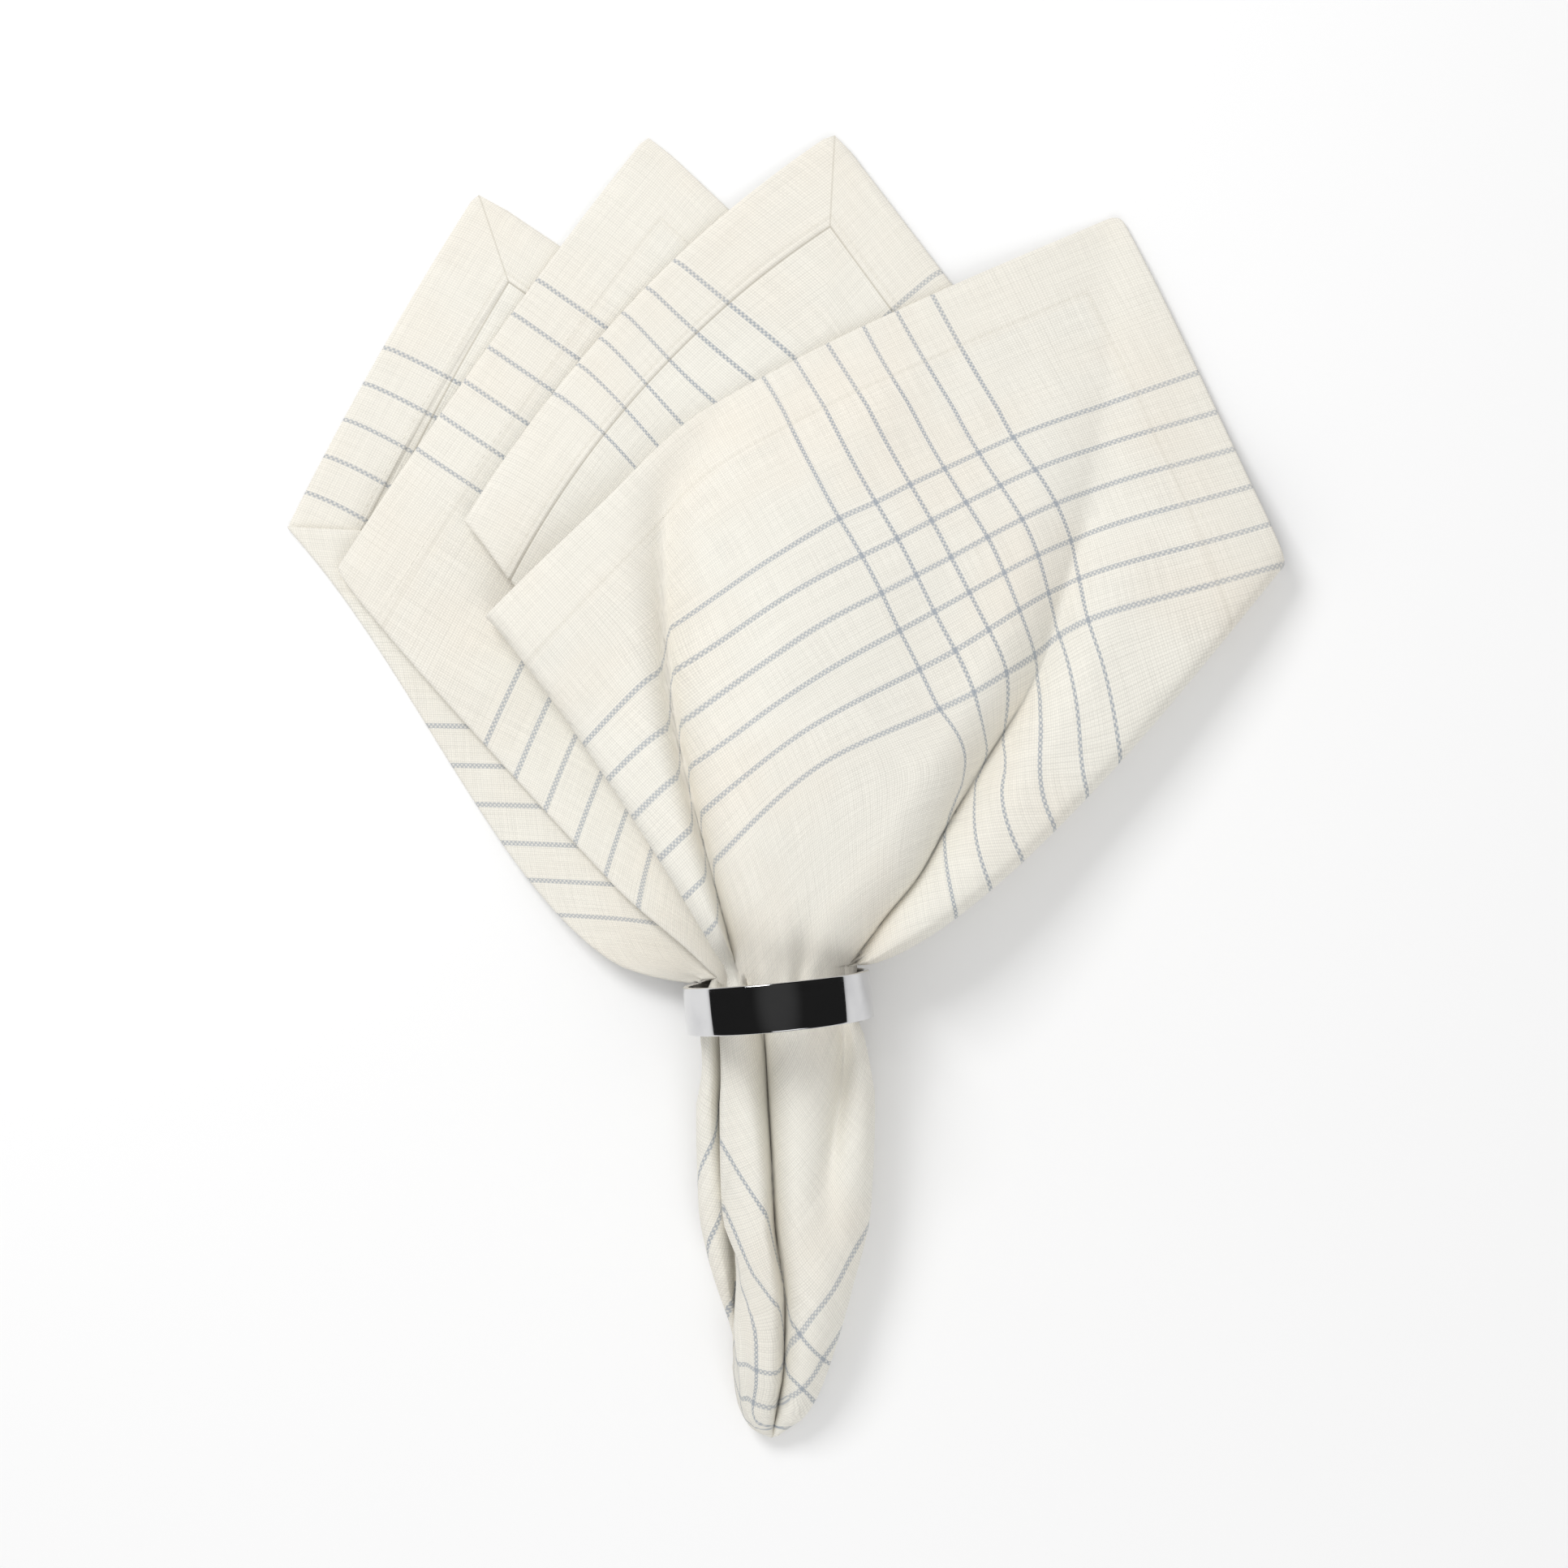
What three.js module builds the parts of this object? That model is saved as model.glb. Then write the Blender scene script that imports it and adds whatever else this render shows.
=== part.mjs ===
// A square cloth napkin, gathered by its centre through a plain metal ring and fanned out flat.
// Millimetres, +Z up. The tail points along -Y, the four corners fan out along +Y.
import * as THREE from 'three';

// Driving dimensions of the cloth
const NAPKIN_SIDE = 500;
const CLOTH_THICKNESS = 1.0;
const HEM_WIDTH = 18.75;
const HEM_EXTRA_THICKNESS = 0.2;
const FAN_LENGTH = 145;
const LAYER_PITCH = 2.0;
const EDGE_LEAD = 6;
const EDGE_SPREAD = 60;
const TIP = { x: -5.0, y: -181.24 };

// Driving dimensions of the ring, a flat band that stands on its edge around the cloth
const RING = {
  outerRadius: 25.5,
  wall: 1.5,
  width: 13,
  edgeRound: 0.5,
  x: 3.4,
  y: 122.2,
  turn: 5.5,
  facets: 64,
};
const RING_GAP = 0.9;

// How the bundle goes from the ring to the fan and to the tip: reach of the ring's grip, length over which
// the fan comes down to the floor, share of the thickness left in hidden pleats, and heights up the tail
// between which the hook round the third fold, the pleats, the slant and the round tip come in
const GRIP_RADIUS = RING.outerRadius - RING.wall - CLOTH_THICKNESS / 2 - RING_GAP;
const GRIP_REACH = 34;
const GRIP_MAX_RISE = 0.98;
const FAN_SETTLE = 84;
const PRESSED = 0.4;
const PRESSED_END = 78;
const HOOK_FADE = { gone: 50, full: 64 };
const PLEAT_FADE = { gone: 18, full: 50 };
const SLANT_FADE = { gone: 60, full: 112 };
const TIP_ROUND = { height: 14, rise: 3.2, turn: 1.2 };
const SINKING_LEVELS = 3;

// The tail below the ring: panel that the rolls of the tail lie on, height of their feet over it and least
// height left in the creases; heights between which the tail changes into the fan, inside the ring; how far
// below the ring its grip begins to ease, and over what length
const BASE_PANEL = 'first';
const ROLL_FOOT = 4;
const CREASE_LEAST = 7.5;
const RING_CHANGE = { tail: 112, fan: 131 };
const TAIL_GRIP = { below: 4, reach: 18 };
const BOW_FULL = 0.75;

// Folds and corners, in order round the flat square. flat: angle on the square, about its centre;
// plan: direction of that hem point from the tail's tip, to the right of +Y;
// reach: its distance from the tip, as a share of its distance from the centre when flat;
// across: place in the gathered bundle, from -1 at its left side to 1 at its right;
// bulge: how far the fold swings out beyond its straight way from the ring to the hem, highest at peak;
// bow: swell of the hem up to the next row.
const FOLDS = [
  { name: 'right_roll', flat: 29.6, plan: 30.66, reach: 0.977, across: 1.0, bulge: 10, peak: 0.34, bow: 1.5 },
  { name: 'front_corner', flat: 45, plan: 16.14, reach: 1.001, across: 0.3, bulge: 0, peak: 0.5, bow: 14 },
  { name: 'front_left', flat: 80.6, plan: -18.72, reach: 0.946, across: -0.62, bulge: -3, peak: 0.5, bow: 0 },
  { name: 'third_tuck', flat: 96.5, plan: -2.6, reach: 0.970, across: -0.08, bulge: 0, peak: 0.5, bow: 0 },
  { name: 'third_left', flat: 112.4, plan: -18.1, reach: 0.987, across: -0.5, bulge: -4, peak: 0.5, bow: 8.5 },
  { name: 'third_corner', flat: 135, plan: 3.03, reach: 1.028, across: 0.15, bulge: 0, peak: 0.5, bow: 0 },
  { name: 'right_tuck_top', flat: 160, plan: 26.5, reach: 0.985, across: 0.74, bulge: 0, peak: 0.5, bow: 0 },
  { name: 'right_tuck_in', flat: 175.9, plan: 12.1, reach: 0.985, across: 0.3, bulge: 0, peak: 0.5, bow: 0 },
  { name: 'right_tuck_low', flat: 191.8, plan: 26.5, reach: 0.987, across: 0.74, bulge: 0, peak: 0.5, bow: 0 },
  { name: 'second_corner', flat: 225, plan: -5.17, reach: 1.029, across: -0.1, bulge: 0, peak: 0.5, bow: 2 },
  { name: 'second_left', flat: 247.8, plan: -26.09, reach: 0.996, across: -0.86, bulge: 3, peak: 0.6, bow: 0 },
  { name: 'first_tuck', flat: 272.85, plan: -1.05, reach: 0.983, across: -0.1, bulge: 0, peak: 0.5, bow: 0 },
  { name: 'left_roll', flat: 299.6, plan: -27.79, reach: 0.994, across: -1.0, bulge: 16.7, peak: 0.24, bow: 1.5 },
  { name: 'first_corner', flat: 315, plan: -13.05, reach: 1.006, across: -0.45, bulge: 0, peak: 0.5, bow: 0 },
  { name: 'back_tuck_top', flat: 348.1, plan: 20, reach: 0.979, across: 0.66, bulge: 0, peak: 0.5, bow: 0 },
  { name: 'back_tuck_in', flat: 363.5, plan: 4.6, reach: 0.986, across: 0.1, bulge: 0, peak: 0.5, bow: 0 },
];

// Panels between one fold and the next, in the same order. level: place in the stack, from the floor up;
// gathered: height of the panel inside the ring; parts: lengthwise strips it is made of;
// inner: hidden panels that die out at the bundle's left side before the tip.
const PANELS = [
  { name: 'front', start: 0, end: 2, level: 9, gathered: 24.0, parts: [12, 18], inner: false },
  { name: 'third_fold_low', start: 2, end: 3, level: 6, gathered: 17.2, parts: [2], inner: true },
  { name: 'third_fold_top', start: 3, end: 4, level: 7, gathered: 19.4, parts: [2], inner: true },
  { name: 'third', start: 4, end: 6, level: 8, gathered: 21.6, parts: [5, 4], inner: true },
  { name: 'right_fold_top', start: 6, end: 7, level: 7, gathered: 19.4, parts: [2], inner: true },
  { name: 'right_fold_low', start: 7, end: 8, level: 6, gathered: 17.2, parts: [2], inner: true },
  { name: 'second', start: 8, end: 10, level: 5, gathered: 15.0, parts: [4, 5], inner: true },
  { name: 'first_fold_top', start: 10, end: 11, level: 4, gathered: 12.8, parts: [2], inner: true },
  { name: 'first_fold_low', start: 11, end: 12, level: 3, gathered: 10.6, parts: [6], inner: true },
  { name: 'first', start: 12, end: 14, level: 2, gathered: 8.4, parts: [5, 5], inner: false },
  { name: 'back_fold_top', start: 14, end: 15, level: 1, gathered: 6.2, parts: [2], inner: false },
  { name: 'back_fold_low', start: 15, end: 16, level: 0, gathered: 4.0, parts: [4], inner: false },
];

// Folds that move across the bundle as the tail narrows: to is where they end up, full and gone the heights
// up the tail between which they do so.
const TUCKS = [
  { folds: ['front_left'], to: -0.76, full: 126, gone: 112 },
  { folds: ['front_left'], to: -1.0, full: 50, gone: 18 },
  { folds: ['second_left'], to: -0.55, full: 124, gone: 112 },
  { folds: ['third_tuck'], to: -0.5, full: 104, gone: 64 },
  { folds: ['third_left'], to: -0.15, full: 104, gone: 64 },
  { folds: ['right_tuck_in'], to: 0.7, full: 90, gone: 52 },
  { folds: ['first_tuck'], to: -0.35, full: 90, gone: 52 },
  { folds: ['back_tuck_in'], to: 0.8, full: 104, gone: 64 },
  { folds: ['back_tuck_top'], to: 0.4, full: 104, gone: 64 },
  {
    folds: ['third_corner', 'right_tuck_top', 'right_tuck_in', 'right_tuck_low', 'second_corner'],
    to: 0,
    full: 72,
    gone: 44,
  },
];
const TUCK_LEFT = 0.2;

// Soft rolls that lie side by side, as sections from the tip to the fan. y is from the tip, left and right
// are the feet of the roll, crest its top in plan and lift its height over the layers below. The first three
// are rolls of the front panel, the last one is the roll at the left side of the tail.
const LEFT_ROLL = [
  { y: 2, left: -5, crest: -0.5, right: 2, lift: 3 },
  { y: 8.6, left: -7.5, crest: 0, right: 2.8, lift: 6 },
  { y: 20, left: -10.5, crest: 1, right: 4.9, lift: 9.5 },
  { y: 38, left: -11, crest: 1.5, right: 5.3, lift: 12.5 },
  { y: 60, left: -11.5, crest: -0.7, right: 2.5, lift: 15.5 },
  { y: 83, left: -13.4, crest: -3.2, right: 1.4, lift: 16 },
  { y: 110, left: -14.6, crest: -7.7, right: -0.6, lift: 15.5 },
  { y: 118, left: -15, crest: -8, right: -1.5, lift: 14 },
  { y: 130, left: -15, crest: -10.5, right: -7.6, lift: 11 },
  { y: 150, left: -26, crest: -17, right: -12.9, lift: 10.5 },
  { y: 175, left: -43, crest: -25.5, right: -19.7, lift: 11 },
  { y: 199, left: -62, crest: -32.5, right: -25.3, lift: 10.5 },
  { y: 223, left: -82, crest: -37, right: -27.6, lift: 9 },
  { y: 256, left: -86, crest: -41, right: -28.7, lift: 6 },
  { y: 280, left: -62, crest: -28, right: -15.2, lift: 2.5 },
  { y: 300, left: -40, crest: -15, right: -5, lift: 0.5 },
];
const MOUND = [
  { y: 2, left: 2, crest: 4, right: 6.5, lift: 2.5 },
  { y: 8.6, left: 3.6, crest: 7.8, right: 12.8, lift: 6.5 },
  { y: 20, left: 5, crest: 10.5, right: 17.4, lift: 10.5 },
  { y: 38, left: 5.2, crest: 11.5, right: 22.5, lift: 14 },
  { y: 60, left: 2.4, crest: 9.5, right: 19.5, lift: 17 },
  { y: 83, left: 1.2, crest: 9.5, right: 21, lift: 19 },
  { y: 110, left: -0.6, crest: 8.5, right: 24, lift: 19 },
  { y: 118, left: -1.5, crest: 8, right: 23.5, lift: 17 },
  { y: 130, left: -7.6, crest: 6, right: 23.3, lift: 11 },
  { y: 143, left: -11, crest: 8, right: 31, lift: 13 },
  { y: 156, left: -14.5, crest: 11, right: 38.5, lift: 13 },
  { y: 170, left: -18.3, crest: 14, right: 48.5, lift: 12.5 },
  { y: 184, left: -22, crest: 16, right: 55, lift: 11.5 },
  { y: 212, left: -27, crest: 20, right: 70, lift: 8.5 },
  { y: 244, left: -28.8, crest: 25, right: 82, lift: 5 },
  { y: 280, left: -15.2, crest: 34, right: 92, lift: 2 },
  { y: 300, left: -5, crest: 42, right: 96, lift: 0.5 },
];
const RIGHT_ROLL = [
  { y: 8, left: 5, crest: 8, right: 13.5, lift: 5 },
  { y: 20, left: 7, crest: 12, right: 18.5, lift: 9 },
  { y: 38, left: 8, crest: 15, right: 24, lift: 12 },
  { y: 60, left: 9, crest: 19, right: 29.5, lift: 15.5 },
  { y: 83, left: 16, crest: 24, right: 32.5, lift: 16.5 },
  { y: 110, left: 20.5, crest: 25.5, right: 30, lift: 15.5 },
  { y: 118, left: 20, crest: 25, right: 30, lift: 13 },
  { y: 131, left: 23.7, crest: 29, right: 37, lift: 5 },
  { y: 143, left: 31, crest: 43, right: 57, lift: 8 },
  { y: 156, left: 38.5, crest: 57, right: 79, lift: 9 },
  { y: 170, left: 48.5, crest: 70, right: 95, lift: 9 },
  { y: 184, left: 55, crest: 81, right: 110, lift: 8.5 },
  { y: 212, left: 70, crest: 102, right: 136, lift: 7 },
  { y: 244, left: 82, crest: 124, right: 160, lift: 4 },
  { y: 262, left: 95, crest: 136, right: 170, lift: 2 },
];
const SIDE_ROLL = [
  { y: 20, left: -10, crest: -8, right: -6, lift: 1 },
  { y: 30, left: -13.5, crest: -9.5, right: -7, lift: 3 },
  { y: 42, left: -17, crest: -12, right: -8.6, lift: 5 },
  { y: 60, left: -20.5, crest: -14.8, right: -10, lift: 6 },
  { y: 83, left: -21, crest: -16, right: -11.8, lift: 6.5 },
  { y: 110, left: -21, crest: -16.8, right: -13, lift: 6 },
  { y: 126, left: -22, crest: -16, right: -12, lift: 0 },
];
const FRONT_ROLLS = [LEFT_ROLL, MOUND, RIGHT_ROLL];
const SIDE_ROLL_LEVEL = 3;
const ROLL_MEETING = 5;
const CRISPNESS = { tail: 0.9, fan: 0.35, from: 145, to: 225 };

// The tail below the ring: y from the tip, middle and half width of the bundle in plan,
// stack: share of the gathered height, drop: how much lower than in the ring it lies.
const TAIL = [
  { y: 0, middle: 1.5, half: 0.9, stack: 0.2, drop: 2.4 },
  { y: 1.2, middle: 1.6, half: 4.2, stack: 0.27, drop: 2.8 },
  { y: 4, middle: 2.2, half: 7.4, stack: 0.36, drop: 3.2 },
  { y: 9, middle: 2.7, half: 10.2, stack: 0.47, drop: 3.5 },
  { y: 20, middle: 4.0, half: 13.2, stack: 0.62, drop: 3.5 },
  { y: 42, middle: 4.8, half: 18.8, stack: 0.82, drop: 3.5 },
  { y: 65, middle: 5.2, half: 23.6, stack: 0.95, drop: 3.5 },
  { y: 92, middle: 5.4, half: 24.4, stack: 1.0, drop: 2.6 },
  { y: 110, middle: 4.4, half: 23.4, stack: 1.0, drop: 0.6 },
  { y: 115, middle: 3.4, half: GRIP_RADIUS, stack: 1.0, drop: 0 },
];

// Stations along the cloth: lengths up the tail, then shares of the way from the ring to the hem
const TAIL_STATIONS = [1.2, 4, 9, 17, 26, 36, 48, 62, 78, 95, 110, 121];
const FAN_HEM_STATION = 1 - HEM_WIDTH / FAN_LENGTH;
const HEM_STEP = 0.03;
const FAN_FREE_STATIONS = [0, 0.05, 0.11, 0.19, 0.29, 0.42, 0.58, 0.74];
const FAN_STATIONS = [...FAN_FREE_STATIONS, FAN_HEM_STATION, FAN_HEM_STATION + HEM_STEP, 1];
const HOOK_PANELS = ['third_fold_low', 'third_fold_top'];
const TURN_STEPS = 4;
const TURN_FULLNESS = 0.6;
const TURN_LEAST = 0.4;
const TURN_DEEPEST = 3.5;
const TURN_WIDEST_SHARE = 0.3;
const SWING_ROUNDNESS = 0.6;

const RAD = Math.PI / 180;
const RING_TOP = RING.y + RING.width / 2 + 1.5;
const SLANT = Math.tan(RING.turn * RAD);

const mix = (a, b, share) => a + (b - a) * share;
const clamp01 = (value) => Math.min(1, Math.max(0, value));

function smoothstep(low, high, value) {
  const share = clamp01((value - low) / (high - low));
  return share * share * (3 - 2 * share);
}

// Smooth value of one column of a table that is sorted by y, on a curve that never swings beyond its rows
function tableAt(table, column, y) {
  const last = table.length - 1;
  const gapAfter = (row) => table[row + 1].y - table[row].y;
  const slopeAfter = (row) => (table[row + 1][column] - table[row][column]) / gapAfter(row);
  const tangent = (row) => {
    if (row === 0) return slopeAfter(0);
    if (row === last) return slopeAfter(last - 1);
    const before = slopeAfter(row - 1);
    const after = slopeAfter(row);
    return before * after > 0 ? (2 * before * after) / (before + after) : 0;
  };
  if (y <= table[0].y) return table[0][column];
  if (y >= table[last].y) return table[last][column];
  const row = table.findIndex((entry) => entry.y > y) - 1;
  const gap = gapAfter(row);
  const way = (y - table[row].y) / gap;
  const lead = way * (1 - way) ** 2 * tangent(row) - way * way * (1 - way) * tangent(row + 1);
  return mix(table[row][column], table[row + 1][column], smoothstep(0, 1, way)) + gap * lead;
}

// Distance from the square's centre to its edge
function flatRadius(degrees) {
  const angle = degrees * RAD;
  return NAPKIN_SIDE / 2 / Math.max(Math.abs(Math.cos(angle)), Math.abs(Math.sin(angle)));
}

function hemPoint(fold) {
  const distance = fold.reach * flatRadius(fold.flat);
  return { x: distance * Math.sin(fold.plan * RAD), y: distance * Math.cos(fold.plan * RAD) };
}

function ringPoint(fold) {
  const offset = fold.across * GRIP_RADIUS;
  return { x: RING.x + offset, y: RING_TOP + offset * SLANT };
}

// Way of a fold from the ring to the hem, with its outward swing
function fanPath(fold, share) {
  const from = ringPoint(fold);
  const to = hemPoint(fold);
  const length = Math.hypot(to.x - from.x, to.y - from.y);
  const side = fold.across < 0 ? -1 : 1;
  const skew = (1 - fold.peak) / fold.peak;
  const rise = share / fold.peak;
  const fall = Math.max(0, 1 - share) / (1 - fold.peak);
  const swing = (side * fold.bulge * (rise * fall ** skew) ** SWING_ROUNDNESS) / length;
  return {
    x: mix(from.x, to.x, share) + swing * (to.y - from.y),
    y: mix(from.y, to.y, share) - swing * (to.x - from.x),
  };
}

const foldOf = (index) => FOLDS[index % FOLDS.length];

// Convex outline round a set of points in plan, counterclockwise
function convexOutline(points) {
  const sorted = [...points].sort((a, b) => a.x - b.x || a.y - b.y);
  const turn = (a, b, c) => (b.x - a.x) * (c.y - a.y) - (b.y - a.y) * (c.x - a.x);
  const chain = (list) => {
    const kept = [];
    list.forEach((point) => {
      while (kept.length > 1 && turn(kept[kept.length - 2], kept[kept.length - 1], point) <= 0) kept.pop();
      kept.push(point);
    });
    return kept.slice(0, -1);
  };
  return [...chain(sorted), ...chain(sorted.reverse())];
}

// Place on the hem between two rows, swollen out by the first row's bow
function strip(fold, from, to, share, bowShare) {
  const gap = Math.hypot(to.x - from.x, to.y - from.y);
  const swell = fold.bow * bowShare * 4 * share * (1 - share);
  const side = Math.sign(to.x - from.x);
  return {
    x: mix(from.x, to.x, share) + (swell * side * (from.y - to.y)) / gap,
    y: mix(from.y, to.y, share) + (swell * side * (to.x - from.x)) / gap,
  };
}

// Plan outline of each panel in the fan, for laying one panel over another
const OUTLINE_SHARES = [0, 0.06, 0.14, 0.24, 0.36, 0.5, 0.7, 1];
const OUTLINES = PANELS.map((panel) => {
  const sides = [panel.start, panel.end];
  const points = sides.flatMap((row) => OUTLINE_SHARES.map((share) => fanPath(foldOf(row), share)));
  for (let row = panel.start; row < panel.end; row += 1) {
    const from = hemPoint(foldOf(row));
    const to = hemPoint(foldOf(row + 1));
    points.push(strip(foldOf(row), from, to, 0.3, 1), strip(foldOf(row), from, to, 0.7, 1), to);
  }
  return convexOutline(points);
});

// How fully a panel lies under a place in plan: 1 on it, dying out beyond its edges
function coverAt(outline, x, y) {
  let outside = -Infinity;
  outline.forEach((point, index) => {
    const next = outline[(index + 1) % outline.length];
    const length = Math.hypot(next.x - point.x, next.y - point.y);
    if (length > 1e-6) {
      const distance = ((x - point.x) * (next.y - point.y) - (y - point.y) * (next.x - point.x)) / length;
      outside = Math.max(outside, distance);
    }
  });
  return 1 - smoothstep(EDGE_LEAD, EDGE_SPREAD, outside);
}

const meet = (values) => values.reduce((sum, value) => sum + value ** ROLL_MEETING, 0) ** (1 / ROLL_MEETING);

// Lift of rolls that lie side by side: round and crisp in the tail, softer in the fan
function rollLift(rolls, x, y) {
  const crisp = mix(CRISPNESS.tail, CRISPNESS.fan, smoothstep(CRISPNESS.from, CRISPNESS.to, y));
  return meet(rolls.map((roll) => {
    const crest = tableAt(roll, 'crest', y);
    const foot = tableAt(roll, x < crest ? 'left' : 'right', y);
    const way = clamp01((x - foot) / (crest - foot));
    return tableAt(roll, 'lift', y) * mix(smoothstep(0, 1, way), Math.sqrt(1 - (1 - way) ** 2), crisp);
  }));
}

// Height of a panel's middle surface above the floor, at a place in plan measured from the tip
function panelHeight(panel, x, y) {
  const front = PANELS[0];
  const base = PANELS.find((entry) => entry.name === BASE_PANEL).gathered;
  const lowest = PANELS[PANELS.length - 1].gathered;
  const sinks = panel.level < SINKING_LEVELS;
  const floor = CLOTH_THICKNESS / 2 + (sinks ? 0 : HEM_EXTRA_THICKNESS);
  const rolls = panel === front ? rollLift(FRONT_ROLLS, x, y) : 0;
  const stack = tableAt(TAIL, 'stack', y);
  const sunk = sinks ? smoothstep(HOOK_FADE.gone, HOOK_FADE.full, y) : 1;
  const under = (Math.min(panel.gathered, base) - lowest) * stack * sunk;
  const share = Math.max(0, panel.gathered - base) / (front.gathered - base);
  const creased = CREASE_LEAST * stack;
  const bundle = panel === front ? meet([creased, ROLL_FOOT * stack + rolls]) : share * creased;
  const inTail = lowest - tableAt(TAIL, 'drop', y) + under + bundle;
  const away = Math.hypot(Math.max(0, Math.abs(x - RING.x) - GRIP_RADIUS), Math.max(0, y - RING_TOP));
  const settled = smoothstep(0, FAN_SETTLE, away);
  let layers = 0;
  if (settled > 0) {
    PANELS.forEach((other, index) => {
      if (other.level < panel.level) layers += coverAt(OUTLINES[index], x, y);
    });
  }
  const inFan = mix(panel.gathered, floor + LAYER_PITCH * layers, settled) + rolls;
  const side = panel.level === SIDE_ROLL_LEVEL ? rollLift([SIDE_ROLL], x, y) : 0;
  return mix(inTail, inFan, smoothstep(RING_CHANGE.tail, RING_CHANGE.fan, y)) + side;
}

// Place of a fold across the bundle at a height up the tail
function acrossAt(fold, tail) {
  return TUCKS.reduce((across, tuck) => {
    if (!tuck.folds.includes(fold.name)) return across;
    return mix(tuck.to, across, mix(TUCK_LEFT, 1, smoothstep(tuck.gone, tuck.full, tail)));
  }, fold.across);
}

// Place of a fold in plan at a station, from the tip
function foldPlace(fold, station) {
  if (station.fan !== undefined) return fanPath(fold, station.fan);
  const middle = tableAt(TAIL, 'middle', station.tail);
  const half = tableAt(TAIL, 'half', station.tail);
  const slant = SLANT * smoothstep(SLANT_FADE.gone, SLANT_FADE.full, station.tail);
  const round = 1 - smoothstep(0, TIP_ROUND.height, station.tail);
  const across = acrossAt(fold, station.tail);
  const dip = round * TIP_ROUND.rise * (1 - Math.cos(across * TIP_ROUND.turn));
  return { x: middle + across * half, y: station.tail + across * half * slant + dip };
}

// The ring draws the bundle in to a circle: share of the full width that is left at a height
function drawnIn(point, station) {
  const inTail = station.fan === undefined;
  const below = Math.max(0, RING.y - RING.width / 2 - TAIL_GRIP.below - (station.tail ?? RING.y));
  const past = inTail ? below / TAIL_GRIP.reach : Math.max(0, point.y - RING_TOP) / GRIP_REACH;
  const middle = inTail ? tableAt(TAIL, 'middle', station.tail) : RING.x;
  const beyond = smoothstep(GRIP_RADIUS, 2 * GRIP_RADIUS, Math.abs(point.x - middle));
  const hold = (1 - smoothstep(0, 1, past)) * (1 - beyond);
  const rise = Math.min(GRIP_MAX_RISE, Math.abs(point.z - RING.outerRadius) / GRIP_RADIUS);
  const chord = mix(1, Math.sqrt(1 - rise * rise), hold);
  return { x: middle + (point.x - middle) * chord, y: point.y, z: point.z };
}

// Distance from a fold's edge at which its round turn begins
function turnInset(halfHeight, width) {
  return Math.min(Math.max(halfHeight, TURN_LEAST), TURN_WIDEST_SHARE * width, TURN_DEEPEST);
}

// Points of one panel's section, clear of the round turns at its two folds
function panelStrip(panel, station) {
  const index = PANELS.indexOf(panel);
  const before = PANELS[(index + PANELS.length - 1) % PANELS.length];
  const after = PANELS[(index + 1) % PANELS.length];
  const start = foldPlace(foldOf(panel.start), station);
  const end = foldPlace(foldOf(panel.end), station);
  const width = Math.hypot(end.x - start.x, end.y - start.y);
  const heightAt = (place) => panelHeight(panel, place.x, place.y);
  const insetAt = (place, other) => {
    const half = Math.abs(heightAt(place) - panelHeight(other, place.x, place.y)) / 2;
    return turnInset(half, width);
  };
  const bowShare = station.fan === undefined ? 0 : smoothstep(0, BOW_FULL, station.fan);
  const hook = HOOK_PANELS.includes(panel.name);
  return panel.parts.flatMap((part, segment) => {
    const fold = foldOf(panel.start + segment);
    const from = foldPlace(fold, station);
    const to = foldPlace(foldOf(panel.start + segment + 1), station);
    const gap = Math.hypot(to.x - from.x, to.y - from.y);
    const first = segment === 0 ? insetAt(start, before) / gap : 0;
    const last = segment === panel.parts.length - 1 ? 1 - insetAt(end, after) / gap : 1;
    const steps = Array.from({ length: part + 1 }, (_, step) => mix(first, last, step / part));
    return (segment === 0 ? steps : steps.slice(1)).map((share) => {
      const place = strip(fold, from, to, share, bowShare);
      return { ...place, z: heightAt(place), inner: panel.inner, hook };
    });
  });
}

// Round turn from the end of one panel, past the fold's place in plan, to the start of the next panel
function foldTurn(before, fold, after) {
  return Array.from({ length: TURN_STEPS - 1 }, (_, turn) => {
    const angle = ((turn + 1) / TURN_STEPS) * Math.PI;
    const way = 0.5 - 0.5 * Math.cos(angle);
    return {
      x: mix(mix(before.x, after.x, way), fold.x, Math.sin(angle)),
      y: mix(mix(before.y, after.y, way), fold.y, Math.sin(angle)),
      z: mix(before.z, after.z, way),
      inner: before.inner || after.inner,
      hook: before.hook || after.hook,
    };
  });
}

// One closed section of the cloth at a station: back and forth through all panels, round at every fold
function section(station) {
  const strips = PANELS.map((panel) => panelStrip(panel, station));
  const points = PANELS.flatMap((panel, index) => {
    const onward = strips[(index + 1) % strips.length];
    const fold = foldPlace(foldOf(panel.end), station);
    return [...strips[index], ...foldTurn(strips[index][strips[index].length - 1], fold, onward[0])];
  });
  const tail = station.tail ?? RING_TOP;
  const pressed = mix(PRESSED, 1, smoothstep(PLEAT_FADE.full, PRESSED_END, tail));
  return points.map((point) => ({
    ...point,
    ...drawnIn(point, station),
    pressed: point.inner ? pressed : 1,
  }));
}

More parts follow.
